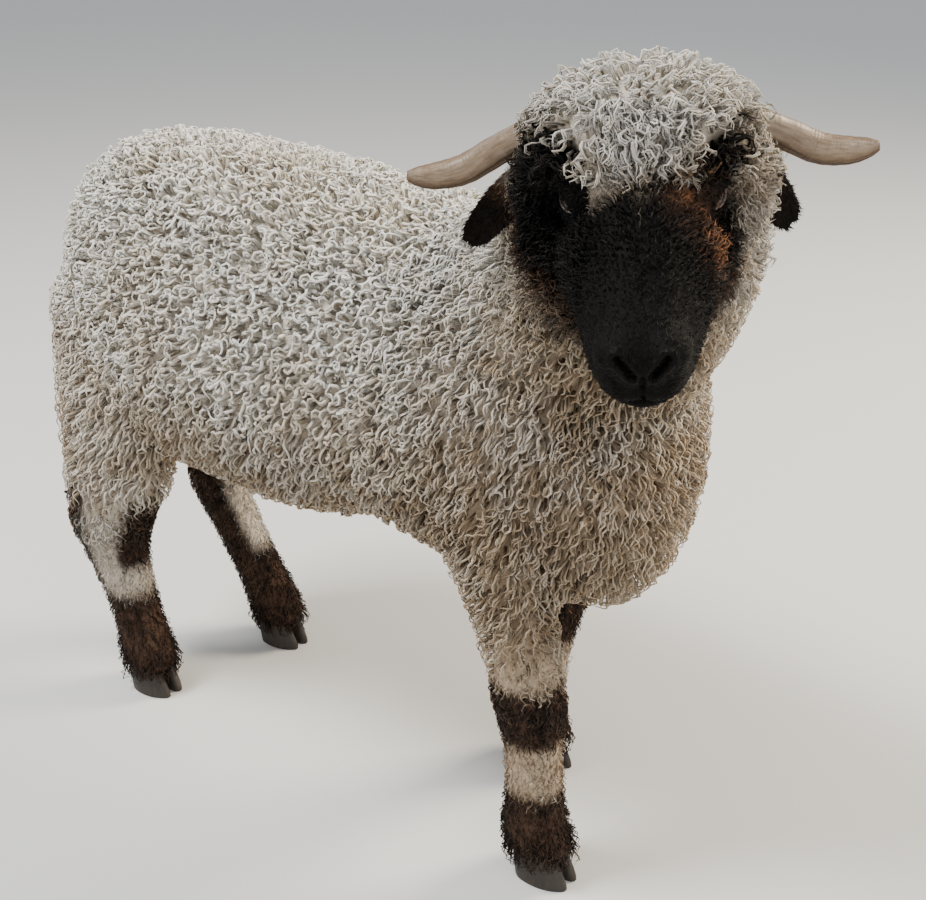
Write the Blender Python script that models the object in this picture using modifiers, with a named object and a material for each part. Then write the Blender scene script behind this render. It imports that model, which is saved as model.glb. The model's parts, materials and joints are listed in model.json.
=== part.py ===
"""A young horned Valais Blacknose sheep, standing with its head turned to its right.

Metres, +Z up. +X is where the body points, +Y is the animal's left, and the origin is on the
floor under the middle of the body. The body is blended from a few lofts and ovals, parted with
thin cuts into torso, hindquarters, neck, head, tail and legs, and everything that is harder or
thinner, such as horns, ears, eyes and claws, is set into it with a thin gap. The fleece is a core
that reaches half way up the wool, with rounded clumps set close all over it out to the tips.
"""
import math
import random

import bmesh
import bpy
import numpy as np
from mathutils import Matrix, Vector

# Driving dimensions
GAP = 0.0003
HEAD_PLACE = Vector((0.425, -0.139, 0.733))
HEAD_TURN = math.radians(-57.9)
HEAD_NOD = math.radians(-28.0)
HEAD_TILT = math.radians(3.8)
EYE_SPACING = 0.090
EYE_RADIUS = 0.0135
EYE_FORWARD = 0.0
EYE_HEIGHT = 0.002
LID_THICKNESS = 0.0026
HORN_LIFT = 0.006
HORN_LEFT_SHARE = 0.95
EAR_LENGTH = 0.088
EAR_WIDTH = 0.030
EAR_THICKNESS = 0.0035
CLAW_HEIGHT = 0.034
CLAW_LENGTH = 0.056
CLAW_WIDTH = 0.023
CLAW_SPREAD = 0.027
HEAD_CUT = -0.112
FACE_EDGE = -0.026
FORELEG_CUT = 0.335
HINDLEG_CUT = 0.330
HIND_PLANE = -0.185

# The fleece: its depth, the share of it that the core takes, and the clumps on top.
# A clump's reach is the share of the distance between two middles that it covers.
BODY_COAT = 0.044
HEAD_COAT = 0.030
TAIL_COAT = 0.024
TAIL_CLEAR = 0.005
CORE_SHARE = 0.5
BARE_LEG = 0.222
WOOLLY_LEG = 0.325
LEG_TOP = 0.300
# Melting the forms together: size of a cell, rounds of smoothing, and faces before and after
# the clumps are united with the core
BODY_VOXEL, BODY_ROUNDS, BODY_CORE_FACES, BODY_FACES = 0.009, 12, 3200, 8800
HEAD_VOXEL, HEAD_ROUNDS, HEAD_CORE_FACES, HEAD_FACES = 0.0035, 5, 2600, 5200
TAIL_VOXEL, TAIL_ROUNDS, TAIL_CORE_FACES, TAIL_FACES = 0.006, 4, 300, 460
CLUMP_SIDES = 6
CLUMP_RINGS = 4
CLUMP_REACH = 0.66
CLUMP_STRETCH = 1.2
CLUMP_LEAN = 0.22
CLUMP_VARIATION = 0.12
SAMPLES = 9000
CROWDING = 0.80
RELAX_ROUNDS = 6
SEED = 11
# Distance between the middles of two clumps
TRUNK_CLUMP = 0.078
NECK_CLUMP = 0.066
LEG_CLUMP = 0.045
TAIL_CLUMP = 0.050
HEAD_CLUMP = 0.044

# Body lofts: place x, y, z, then half width and half depth of the oval there, out to the wool's tips
TRUNK = (
    (-0.385, 0.0, 0.520, 0.062, 0.105),
    (-0.350, 0.0, 0.520, 0.100, 0.145),
    (-0.300, 0.0, 0.516, 0.136, 0.176),
    (-0.230, 0.0, 0.507, 0.164, 0.190),
    (-0.120, 0.0, 0.499, 0.180, 0.195),
    (0.000, 0.0, 0.496, 0.182, 0.190),
    (0.110, 0.0, 0.502, 0.176, 0.171),
    (0.210, 0.0, 0.490, 0.170, 0.176),
    (0.290, 0.0, 0.474, 0.154, 0.174),
    (0.350, -0.005, 0.462, 0.122, 0.148),
    (0.390, -0.010, 0.460, 0.078, 0.098),
)
NECK = (
    (0.180, 0.000, 0.500, 0.145, 0.150),
    (0.260, -0.002, 0.560, 0.140, 0.140),
    (0.325, -0.018, 0.625, 0.130, 0.126),
    (0.366, -0.045, 0.690, 0.116, 0.112),
    (0.385, -0.066, 0.752, 0.092, 0.088),
)
# Legs run down from the body. The last ring lies on top of the claws.
FORELEG_RIGHT = (
    (0.245, -0.100, 0.480, 0.060, 0.090),
    (0.268, -0.098, 0.385, 0.050, 0.062),
    (0.288, -0.094, 0.310, 0.041, 0.045),
    (0.298, -0.090, 0.250, 0.035, 0.037),
    (0.303, -0.087, 0.208, 0.033, 0.035),
    (0.305, -0.083, 0.160, 0.028, 0.029),
    (0.306, -0.080, 0.100, 0.028, 0.030),
    (0.305, -0.077, 0.066, 0.032, 0.035),
    (0.312, -0.075, 0.040, 0.031, 0.036),
    (0.314, -0.075, 0.026, 0.029, 0.035),
)
FORELEG_LEFT = (
    (0.225, 0.100, 0.480, 0.060, 0.090),
    (0.222, 0.098, 0.385, 0.050, 0.062),
    (0.218, 0.094, 0.310, 0.041, 0.045),
    (0.216, 0.089, 0.250, 0.035, 0.037),
    (0.214, 0.085, 0.208, 0.033, 0.035),
    (0.208, 0.082, 0.160, 0.028, 0.029),
    (0.203, 0.080, 0.100, 0.028, 0.030),
    (0.200, 0.079, 0.066, 0.032, 0.035),
    (0.206, 0.078, 0.040, 0.031, 0.036),
    (0.208, 0.078, 0.026, 0.029, 0.035),
)
HINDLEG_RIGHT = (
    (-0.265, -0.080, 0.520, 0.068, 0.105),
    (-0.272, -0.092, 0.420, 0.062, 0.098),
    (-0.286, -0.097, 0.340, 0.056, 0.090),
    (-0.306, -0.097, 0.275, 0.048, 0.070),
    (-0.318, -0.096, 0.222, 0.040, 0.056),
    (-0.306, -0.095, 0.160, 0.031, 0.037),
    (-0.290, -0.094, 0.105, 0.028, 0.031),
    (-0.280, -0.094, 0.068, 0.031, 0.035),
    (-0.272, -0.094, 0.040, 0.031, 0.036),
    (-0.270, -0.094, 0.026, 0.029, 0.035),
)
HINDLEG_LEFT = (
    (-0.260, 0.080, 0.520, 0.068, 0.105),
    (-0.262, 0.092, 0.420, 0.062, 0.098),
    (-0.280, 0.095, 0.340, 0.053, 0.072),
    (-0.304, 0.085, 0.270, 0.041, 0.049),
    (-0.314, 0.076, 0.222, 0.034, 0.040),
    (-0.288, 0.078, 0.165, 0.029, 0.033),
    (-0.256, 0.082, 0.105, 0.028, 0.031),
    (-0.236, 0.084, 0.068, 0.031, 0.035),
    (-0.224, 0.085, 0.040, 0.031, 0.036),
    (-0.221, 0.085, 0.026, 0.029, 0.035),
)
TAIL = (
    (-0.325, 0.0, 0.600, 0.030, 0.026),
    (-0.354, 0.0, 0.600, 0.034, 0.028),
    (-0.378, 0.0, 0.575, 0.038, 0.029),
    (-0.389, 0.0, 0.505, 0.041, 0.029),
    (-0.386, 0.0, 0.400, 0.040, 0.028),
    (-0.378, 0.0, 0.310, 0.030, 0.022),
    (-0.376, 0.0, 0.285, 0.016, 0.012),
)
# Ovals that round off the chest, the crop and the rump: centre and radii
BODY_OVALS = (
    ((0.335, -0.005, 0.440), (0.080, 0.112, 0.138)),
    ((-0.385, 0.000, 0.520), (0.028, 0.060, 0.103)),
)
LEGS = {
    "foreleg_right": FORELEG_RIGHT,
    "foreleg_left": FORELEG_LEFT,
    "hindleg_right": HINDLEG_RIGHT,
    "hindleg_left": HINDLEG_LEFT,
}

# Head rings, in the head's own frame: along the nose, then top, bottom and half width
SKULL = (
    (-0.095, 0.020, -0.060, 0.042),
    (-0.050, 0.040, -0.095, 0.060),
    (0.000, 0.030, -0.104, 0.055),
    (0.045, 0.024, -0.097, 0.050),
    (0.085, 0.014, -0.088, 0.045),
    (0.115, 0.004, -0.079, 0.040),
    (0.138, -0.006, -0.070, 0.031),
    (0.151, -0.018, -0.058, 0.020),
)
# Bare ovals of the head, centre and radii, mirrored where the centre is off the middle:
# nostril pads, upper lips, chin, brows and jaws
FACE_OVALS = (
    ((0.132, 0.017, -0.019), (0.020, 0.018, 0.017)),
    ((0.124, 0.013, -0.043), (0.029, 0.020, 0.019)),
    ((0.110, 0.000, -0.067), (0.030, 0.022, 0.016)),
    ((-0.004, 0.043, 0.021), (0.024, 0.014, 0.010)),
    ((-0.020, 0.044, -0.058), (0.046, 0.022, 0.042)),
)
# Woolly ovals of the head, out to the tips: topknot, cheeks and ruff under the jaw
WOOL_OVALS = (
    ((-0.042, 0.000, 0.024), (0.064, 0.092, 0.058)),
    ((-0.056, 0.066, -0.026), (0.045, 0.040, 0.066)),
    ((-0.045, 0.040, -0.075), (0.042, 0.042, 0.040)),
)
# The line of the mouth on one side, from its corner to the front, and one nostril
MOUTH = ((0.088, 0.050, -0.056), (0.112, 0.045, -0.060), (0.136, 0.036, -0.060), (0.152, 0.016, -0.056))
MOUTH_FRONT = (0.160, 0.000, -0.052)
MOUTH_GROOVE = 0.0017
NOSTRIL = ((0.150, 0.010, -0.022), (0.147, 0.018, -0.012), (0.138, 0.024, -0.008))
NOSTRIL_GROOVE = 0.0032

SUNK_ROUNDS = 4
CONTROL_STEPS = 4
RING_SIDES = 20


def clear_scene():
    """Remove what a new file holds."""
    for thing in list(bpy.data.objects):
        bpy.data.objects.remove(thing)


def new_collection(name):
    """A collection linked to the scene."""
    made = bpy.data.collections.new(name)
    bpy.context.scene.collection.children.link(made)
    return made


def material(name, colour, roughness):
    """A plain finish with the part's colour."""
    made = bpy.data.materials.new(name)
    made.use_nodes = True
    shader = made.node_tree.nodes["Principled BSDF"]
    shader.inputs["Base Color"].default_value = (*colour, 1.0)
    shader.inputs["Roughness"].default_value = roughness
    return made


clear_scene()
ANIMAL = new_collection("valais_blacknose_sheep")
CUTTERS = new_collection("cutters")
CLUMPS = new_collection("clumps")
WOOL = material("wool", (0.72, 0.68, 0.60), 0.95)
BLACK_COAT = material("black_coat", (0.02, 0.017, 0.015), 0.8)
HORN = material("horn", (0.42, 0.30, 0.17), 0.5)
CLAW = material("claw", (0.09, 0.075, 0.06), 0.5)
EYE = material("eye", (0.05, 0.03, 0.015), 0.1)


def to_object(name, bm, place=None):
    """Turn a closed bmesh into an object in the animal's collection, faces outward."""
    bmesh.ops.recalc_face_normals(bm, faces=bm.faces[:])
    mesh = bpy.data.meshes.new(name)
    bm.to_mesh(mesh)
    bm.free()
    made = bpy.data.objects.new(name, mesh)
    (place or ANIMAL).objects.link(made)
    return made


def smooth_keys(keys, steps):
    """Points between the keys, on a Catmull-Rom curve through all of them."""
    rows = [tuple(key) for key in keys]
    padded = [rows[0], *rows, rows[-1]]
    out = []
    for i in range(1, len(padded) - 2):
        before, start, end, after = padded[i - 1 : i + 3]
        for step in range(steps):
            t = step / steps
            out.append(tuple(
                0.5 * (2 * b + (c - a) * t + (2 * a - 5 * b + 4 * c - d) * t * t
                       + (3 * b - a - 3 * c + d) * t ** 3)
                for a, b, c, d in zip(before, start, end, after)
            ))
    out.append(rows[-1])
    return out


def add_rings(bm, rings):
    """Skin a row of rings with quads and close both ends."""
    skins = [[bm.verts.new(point) for point in ring] for ring in rings]
    sides = len(skins[0])
    for near, far in zip(skins, skins[1:]):
        for i in range(sides):
            j = (i + 1) % sides
            bm.faces.new((near[i], near[j], far[j], far[i]))
    for ring in (skins[0], skins[-1]):
        centre = sum((v.co for v in ring), Vector()) / sides
        pole = bm.verts.new(centre)
        for i in range(sides):
            bm.faces.new((ring[i], ring[(i + 1) % sides], pole))


def path_rings(keys, side, steps=CONTROL_STEPS, sides=RING_SIDES, grow=0.0):
    """Oval rings across a path. side is the direction that the half width is measured along."""
    rows = smooth_keys(keys, steps)
    centres = [Vector(row[:3]) for row in rows]
    rings = []
    for i, row in enumerate(rows):
        ahead = centres[min(i + 1, len(rows) - 1)] - centres[max(i - 1, 0)]
        ahead.normalize()
        across = (side - ahead * side.dot(ahead)).normalized()
        deep = ahead.cross(across)
        rings.append([
            centres[i] + across * (row[3] + grow) * math.cos(a) + deep * (row[4] + grow) * math.sin(a)
            for a in (math.tau * k / sides for k in range(sides))
        ])
    return rings


def add_oval(bm, centre, radii, detail=3):
    """A closed oval, made from a sphere."""
    shape = Matrix.LocRotScale(Vector(centre), None, Vector(radii))
    bmesh.ops.create_icosphere(bm, subdivisions=detail, radius=1.0, matrix=shape)


def finished_mesh(thing):
    """The object's mesh with its modifiers applied."""
    graph = bpy.context.evaluated_depsgraph_get()
    graph.update()
    return bpy.data.meshes.new_from_object(thing.evaluated_get(graph))


def apply_modifiers(thing):
    """Replace the object's mesh by its evaluated one."""
    mesh = finished_mesh(thing)
    thing.modifiers.clear()
    thing.data = mesh
    return thing


def keep_largest(thing):
    """Keep only the largest closed surface of the mesh, as triangles."""
    bm = bmesh.new()
    bm.from_mesh(thing.data)
    bmesh.ops.triangulate(bm, faces=bm.faces[:])
    left = set(bm.faces)
    shells = []
    while left:
        queue = [left.pop()]
        shell = list(queue)
        while queue:
            for edge in queue.pop().edges:
                for other in edge.link_faces:
                    if other in left:
                        left.remove(other)
                        queue.append(other)
                        shell.append(other)
        shells.append(shell)
    shells.sort(key=lambda shell: sum(face.calc_area() for face in shell))
    scrap = [face for shell in shells[:-1] for face in shell]
    bmesh.ops.delete(bm, geom=scrap, context="FACES")
    bm.to_mesh(thing.data)
    bm.free()
    return thing


def thinned(thing, triangles):
    """Merge small faces into larger ones until about that many triangles are left."""
    count = sum(len(face.vertices) - 2 for face in thing.data.polygons)
    thin = thing.modifiers.new("thin", "DECIMATE")
    thin.ratio = min(1.0, triangles / count)
    thin.use_collapse_triangulate = True
    return keep_largest(apply_modifiers(thing))


def smoothed(thing, rounds):
    """Even out the surface."""
    smooth = thing.modifiers.new("smooth", "SMOOTH")
    smooth.factor = 0.5
    smooth.iterations = rounds
    return apply_modifiers(thing)


def blend(thing, voxel, rounds, triangles, coat):
    """Melt the overlapping closed shapes of one mesh into a smooth core of about that many triangles.

    coat gives the wool's depth at a point: the core lies lower there by the clumps' share of it.
    """
    remesh = thing.modifiers.new("remesh", "REMESH")
    remesh.mode = "VOXEL"
    remesh.voxel_size = voxel
    smoothed(thing, rounds)
    normals = [vert.normal.copy() for vert in thing.data.vertices]
    for vert, normal in zip(thing.data.vertices, normals):
        vert.co -= normal * coat(vert.co) * (1 - CORE_SHARE)
    smoothed(thing, SUNK_ROUNDS)
    return thinned(thing, triangles)


def copy_of(thing, name):
    """A second object with its own copy of the mesh."""
    made = thing.copy()
    made.data = thing.data.copy()
    made.name = name
    ANIMAL.objects.link(made)
    return made


def cut(thing, cutter, operation="DIFFERENCE", solver="EXACT"):
    """Cut or keep with a closed cutter, and keep the largest piece."""
    boolean = thing.modifiers.new(operation, "BOOLEAN")
    boolean.operation = operation
    boolean.solver = solver
    boolean.object = cutter
    apply_modifiers(thing)
    return keep_largest(thing)


def box_cutter(name, low, high, turn=None):
    """A box between two corners, turned by a matrix."""
    bm = bmesh.new()
    low, high = Vector(low), Vector(high)
    size = high - low
    shape = Matrix.LocRotScale((low + high) / 2, None, size)
    bmesh.ops.create_cube(bm, size=1.0, matrix=(turn or Matrix()) @ shape)
    return as_cutter(to_object(name, bm, CUTTERS))


def as_cutter(thing):
    """Keep a cutter out of the render and of the build."""
    thing.hide_render = True
    thing.display_type = "WIRE"
    return thing


def grown(thing, name):
    """A copy swollen by the gap, to cut the neighbour with."""
    bm = bmesh.new()
    bm.from_mesh(thing.data)
    bm.normal_update()
    places = [vert.co + vert.normal * GAP * vert.calc_shell_factor() for vert in bm.verts]
    for vert, place in zip(bm.verts, places):
        vert.co = place
    made = to_object(name, bm, CUTTERS)
    return as_cutter(made)


def finish(thing, coat):
    """Give the finished node its material."""
    thing.data.materials.clear()
    thing.data.materials.append(coat)
    return thing


# The head's own frame: X along the nose, Y to its left, Z up from the face
HEAD = (
    Matrix.Translation(HEAD_PLACE)
    @ Matrix.Rotation(HEAD_TURN, 4, "Z")
    @ Matrix.Rotation(-HEAD_NOD, 4, "Y")
    @ Matrix.Rotation(HEAD_TILT, 4, "X")
)
LEFT = Vector((0, 1, 0))
# The wool lies backwards and down
LIE = Vector((-0.45, 0, -0.9))
# Where an eye looks, in the head's frame, on the left side
EYE_LOOK = (0.42, 0.88, 0.12)


def plane_box(name, point, facing, far=1.5):
    """A big box whose one face passes through the point and looks along the direction."""
    turn = Vector(facing).to_track_quat("Z", "Y").to_matrix().to_4x4()
    place = Matrix.Translation(point) @ turn
    return box_cutter(name, (-far, -far, -2 * far), (far, far, 0), place)


def eased(share):
    """A share from 0 to 1 with soft ends."""
    share = min(1.0, max(0.0, share))
    return share * share * (3 - 2 * share)


def body_coat(place):
    """Depth of the wool: the same on trunk and neck, thinner down the legs, none from the knees."""
    return BODY_COAT * eased((place.z - BARE_LEG) / (WOOLLY_LEG - BARE_LEG))


def head_coat(place):
    """Depth of the wool on the head: none on the face, from the forelock and the cheeks back."""
    local = HEAD.inverted() @ place
    edge = FACE_EDGE + 0.055 * eased((local.z - 0.012) / 0.022) + 0.016 * eased((-local.z - 0.04) / 0.04)
    return HEAD_COAT * eased(0.5 + (edge - local.x) / 0.014)


def head_and_neck_coat(place):
    """The head's wool, which deepens to the body's where the neck begins."""
    depth = head_coat(place)
    down = -(HEAD.inverted() @ place).z
    return depth + (BODY_COAT - depth) * eased((down + HEAD_CUT + 0.030) / 0.030)


def tail_coat(place):
    """Depth of the wool on the tail."""
    return TAIL_COAT


def body_clump(place):
    """Distance between the clumps at a point of the body."""
    if place.z < LEG_TOP:
        return LEG_CLUMP
    ahead = (place - Vector(NECK[1][:3])).dot(Vector((0.6, 0, 0.8)))
    return NECK_CLUMP if ahead > 0 else TRUNK_CLUMP


def head_clump(place):
    """Width of a clump on the head."""
    return HEAD_CLUMP


def tail_clump(place):
    """Width of a clump on the tail."""
    return TAIL_CLUMP


def spread_over(core, coat, width_at, seed):
    """Places for clumps, evenly spread: point, normal, wool depth and distance to the next one."""
    draw = np.random.default_rng(seed)
    mesh = core.data
    corners = np.array([[mesh.vertices[i].co[:] for i in face.vertices] for face in mesh.polygons])
    areas = np.array([face.area for face in mesh.polygons])
    normals = np.array([face.normal[:] for face in mesh.polygons])
    picks = draw.choice(len(areas), SAMPLES, p=areas / areas.sum())
    first, second = draw.random((2, SAMPLES))
    fold = first + second > 1
    first[fold], second[fold] = 1 - first[fold], 1 - second[fold]
    a, b, c = (corners[picks, i] for i in range(3))
    points = a + (b - a) * first[:, None] + (c - a) * second[:, None]
    depths = np.array([coat(Vector(point)) for point in points])
    woolly = depths > 0.15 * depths.max()
    points, normals, depths = points[woolly], normals[picks][woolly], depths[woolly]
    widths = np.array([width_at(Vector(point)) for point in points])

    kept = []
    for i, point in enumerate(points):
        apart = CROWDING * widths[i]
        if not kept or np.min(((points[kept] - point) ** 2).sum(1)) > apart * apart:
            kept.append(i)
    for _ in range(RELAX_ROUNDS):
        owner = ((points[:, None] - points[kept][None]) ** 2).sum(2).argmin(1)
        for k in range(len(kept)):
            own = np.nonzero(owner == k)[0]
            middle = points[own].mean(0)
            kept[k] = own[((points[own] - middle) ** 2).sum(1).argmin()]
    return [(Vector(points[i]), Vector(normals[i]), depths[i], widths[i]) for i in kept]


def clump_object(name, point, normal, depth, width, draw):
    """One rounded clump, its root sunk in the core and its top at the tips of the wool."""
    radius = CLUMP_REACH * width
    rise = depth * (1 - CORE_SHARE)
    sink = 0.6 * rise + 0.25 * radius
    lie = LIE - normal * LIE.dot(normal)
    lie = lie.normalized() if lie.length > 0.1 else normal.orthogonal().normalized()
    up = (normal + lie * CLUMP_LEAN).normalized()
    lie = (lie - up * lie.dot(up)).normalized()
    turn = Matrix((lie, up.cross(lie), up)).transposed().to_4x4()
    long, wide, tall = (1 + draw.uniform(-CLUMP_VARIATION, CLUMP_VARIATION) for _ in range(3))
    sizes = radius * long * CLUMP_STRETCH ** 0.5, radius * wide / CLUMP_STRETCH ** 0.5, rise * tall + sink
    place = Matrix.Translation(point - normal * sink) @ turn @ Matrix.Diagonal((*sizes, 1))
    spin = Matrix.Rotation(draw.uniform(0, math.tau), 4, "Z")
    bm = bmesh.new()
    bmesh.ops.create_uvsphere(
        bm, u_segments=CLUMP_SIDES, v_segments=CLUMP_RINGS, radius=1.0, matrix=place @ spin
    )
    return to_object(name, bm, CLUMPS)


def add_clumps(core, coat, width_at, seed, triangles):
    """Grow clumps all over the woolly part of the core, fuse them with it and clear away slivers."""
    draw = random.Random(seed)
    for place in spread_over(core, coat, width_at, seed):
        clump_object("clump", *place, draw)
    boolean = core.modifiers.new("fleece", "BOOLEAN")
    boolean.operation = "UNION"
    boolean.operand_type = "COLLECTION"
    boolean.collection = CLUMPS
    boolean.solver = "MANIFOLD"
    apply_modifiers(core)
    for clump in list(CLUMPS.objects):
        bpy.data.objects.remove(clump)
    return thinned(keep_largest(core), triangles)


def make_body():
    """Trunk, neck and legs as one smooth core, with the fleece on it."""
    bm = bmesh.new()
    add_rings(bm, path_rings(TRUNK, LEFT))
    add_rings(bm, path_rings(NECK, LEFT))
    for keys in LEGS.values():
        add_rings(bm, path_rings(keys, LEFT))
    for centre, radii in BODY_OVALS:
        add_oval(bm, centre, radii)
    core = blend(to_object("body", bm), BODY_VOXEL, BODY_ROUNDS, BODY_CORE_FACES, body_coat)
    return add_clumps(core, body_coat, body_clump, SEED, BODY_FACES)


def head_rings(keys, sides=24):
    """Oval rings across the nose's line."""
    rings = []
    for x, top, bottom, half in smooth_keys(keys, CONTROL_STEPS):
        middle, tall = (top + bottom) / 2, (top - bottom) / 2
        rings.append([
            Vector((x, half * math.cos(a), middle + tall * math.sin(a)))
            for a in (math.tau * k / sides for k in range(sides))
        ])
    return rings


def mirrored_ovals(ovals):
    """Both sides of a list of ovals."""
    for centre, radii in ovals:
        for side in ((1, -1) if centre[1] else (1,)):
            yield (centre[0], side * centre[1], centre[2]), radii


def groove(head, name, points, radius):
    """A round cutter along points laid onto the head's surface."""
    laid = []
    for point in points:
        found, place, normal, face = head.closest_point_on_mesh(HEAD @ Vector(point))
        laid.append((*(place - normal * radius * 0.1), radius, radius))
    bm = bmesh.new()
    add_rings(bm, path_rings(laid, Vector((0.1, 0.2, 1)), steps=2, sides=6))
    return as_cutter(to_object(name, bm, CUTTERS))


def make_lid(name, side):
    """The rim of the lids round one eye, a ring longer than it is high."""
    look = Vector(EYE_LOOK) * Vector((1, side, 1))
    turn = look.to_track_quat("Z", "Y").to_matrix().to_4x4()
    bm = bmesh.new()
    rings, sides = 14, 6
    skins = []
    for i in range(rings):
        a = math.tau * i / rings
        out = Vector((math.cos(a) * EYE_RADIUS * 1.02, math.sin(a) * EYE_RADIUS * 0.80, EYE_RADIUS * 0.42))
        away = Vector((math.cos(a), math.sin(a), 0))
        thick = LID_THICKNESS * (1.35 if math.sin(a) > 0 else 1.0)
        skins.append([
            bm.verts.new(out + away * thick * math.cos(b) + Vector((0, 0, thick * 1.2 * math.sin(b))))
            for b in (math.tau * k / sides for k in range(sides))
        ])
    for i in range(rings):
        near, far = skins[i], skins[(i + 1) % rings]
        for j in range(sides):
            bm.faces.new((near[j], near[(j + 1) % sides], far[(j + 1) % sides], far[j]))
    bmesh.ops.transform(bm, matrix=HEAD @ Matrix.Translation(eye_centre(side)) @ turn, verts=bm.verts[:])
    return to_object(name, bm, CLUMPS)


def make_head():
    """Skull, muzzle, brows and the core of the wool as one smooth form, then lids, mouth and clumps."""
    bm = bmesh.new()
    add_rings(bm, head_rings(SKULL))
    into_head = HEAD.inverted()
    add_rings(bm, [[into_head @ point for point in ring] for ring in path_rings(NECK, LEFT)])
    for centre, radii in mirrored_ovals(FACE_OVALS + WOOL_OVALS):
        add_oval(bm, centre, radii)
    bmesh.ops.transform(bm, matrix=HEAD, verts=bm.verts[:])
    head = blend(to_object("head", bm), HEAD_VOXEL, HEAD_ROUNDS, HEAD_CORE_FACES, head_and_neck_coat)
    across = [(x, -y, z) for x, y, z in MOUTH]
    cutters = [groove(head, "mouth", [*MOUTH, MOUTH_FRONT, *reversed(across)], MOUTH_GROOVE)]
    for side in (1, -1):
        points = [(x, side * y, z) for x, y, z in NOSTRIL]
        cutters.append(groove(head, "nostril", points, NOSTRIL_GROOVE))
        make_lid("lid", side)
    for cutter in cutters:
        cut(head, cutter)
    return add_clumps(head, head_coat, head_clump, SEED + 1, HEAD_FACES)


def eye_centre(side):
    """Middle of an eyeball, in the head's frame."""
    return Vector((EYE_FORWARD, side * EYE_SPACING / 2, EYE_HEIGHT))


def make_eye(name, side):
    """An eyeball set into the side of the head."""
    bm = bmesh.new()
    place = HEAD @ Matrix.Translation(eye_centre(side))
    bmesh.ops.create_uvsphere(bm, u_segments=14, v_segments=9, radius=EYE_RADIUS, matrix=place)
    return to_object(name, bm)


def make_horn(name, side):
    """A flattened, ringed horn that spreads sideways and droops to its tip."""
    lift, share = (HORN_LIFT, HORN_LEFT_SHARE) if side > 0 else (0.0, 1.0)
    keys = (
        (-0.050, 0.040, 0.030, 0.0125, 0.0130),
        (-0.056, 0.075, 0.020 + lift * 0.4, 0.0125, 0.0125),
        (-0.058, 0.106, 0.004 + lift, 0.0105, 0.0122),
        (-0.054, 0.136, -0.012 + lift * 1.5, 0.0085, 0.0124),
        (-0.049, 0.158, -0.014 + lift * 1.9, 0.0065, 0.0112),
        (-0.045, 0.172, -0.011 + lift * 2.2, 0.0048, 0.0082),
        (-0.043, 0.180, -0.008 + lift * 2.3, 0.0024, 0.0040),
    )
    mirrored = [(x, side * share * y, z, wide, deep) for x, y, z, wide, deep in keys]
    bm = bmesh.new()
    add_rings(bm, path_rings(mirrored, Vector((0.5, 0, 0.85)), steps=3, sides=10))
    bmesh.ops.transform(bm, matrix=HEAD, verts=bm.verts[:])
    return to_object(name, bm)


def make_ear(name, side):
    """A drooping leaf-shaped ear with a cupped front."""
    root = Vector((-0.056, side * 0.080, -0.008))
    tip = Vector((-0.032, -0.138, -0.069)) if side < 0 else Vector((-0.062, 0.114, -0.078))
    along = (tip - root).normalized()
    front = Vector((0.9, side * 0.35, 0.15))
    front = (front - along * front.dot(along)).normalized()
    across = along.cross(front)
    rows, columns = 9, 7
    bm = bmesh.new()
    sheet = []
    for i in range(rows):
        t = i / (rows - 1)
        half = EAR_WIDTH / 2 * (0.30 + 0.70 * math.sin(math.pi * min(1.0, 0.08 + t * 0.80)) ** 0.8)
        half *= 1.0 if t < 0.85 else 1.0 - 0.45 * ((t - 0.85) / 0.15) ** 2
        centre = root + (tip - root) * t * (EAR_LENGTH / (tip - root).length)
        row = []
        for j in range(columns):
            s = 2 * j / (columns - 1) - 1
            cup = 0.38 * half * (1 - s * s) * (1.6 - t)
            row.append(bm.verts.new(centre + across * s * half - front * cup))
        sheet.append(row)
    for near, far in zip(sheet, sheet[1:]):
        for j in range(columns - 1):
            bm.faces.new((near[j], near[j + 1], far[j + 1], far[j]))
    bmesh.ops.transform(bm, matrix=HEAD, verts=bm.verts[:])
    ear = to_object(name, bm)
    solid = ear.modifiers.new("wall", "SOLIDIFY")
    solid.thickness = EAR_THICKNESS
    solid.offset = 0.0
    return keep_largest(apply_modifiers(ear))


def make_claw(name, keys, side):
    """One half of a cloven hoof, flat underneath and pointed in front."""
    foot = keys[-1]
    outline = (
        (-0.42, 0.34), (-0.40, -0.30), (-0.10, -0.50), (0.30, -0.36), (0.58, 0.10), (0.50, 0.42),
        (0.10, 0.50),
    )
    bm = bmesh.new()
    rings = []
    for level, shrink, shift in ((0.0, 1.0, 0.0), (0.35, 0.98, -0.04), (1.0, 0.80, -0.16)):
        ring = []
        for x, y in outline:
            px = foot[0] + 0.004 + (x * shrink + shift) * CLAW_LENGTH
            py = foot[1] + side * (CLAW_SPREAD / 2 - y * shrink * CLAW_WIDTH)
            ring.append(Vector((px, py, level * (CLAW_HEIGHT - GAP))))
        rings.append(ring)
    skins = [[bm.verts.new(point) for point in ring] for ring in rings]
    count = len(outline)
    for near, far in zip(skins, skins[1:]):
        for i in range(count):
            bm.faces.new((near[i], near[(i + 1) % count], far[(i + 1) % count], far[i]))
    bm.faces.new(skins[0])
    bm.faces.new(skins[-1])
    return keep_largest(to_object(name, bm))


def make_tail():
    """A woolly tail that lies against the buttocks."""
    bm = bmesh.new()
    add_rings(bm, path_rings(TAIL, LEFT))
    core = blend(to_object("tail", bm), TAIL_VOXEL, TAIL_ROUNDS, TAIL_CORE_FACES, tail_coat)
    add_clumps(core, tail_coat, tail_clump, SEED + 2, TAIL_FACES)
    return cut(core, tail_sleeve("tail_sleeve", TAIL_CLEAR - GAP), "INTERSECT")


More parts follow.
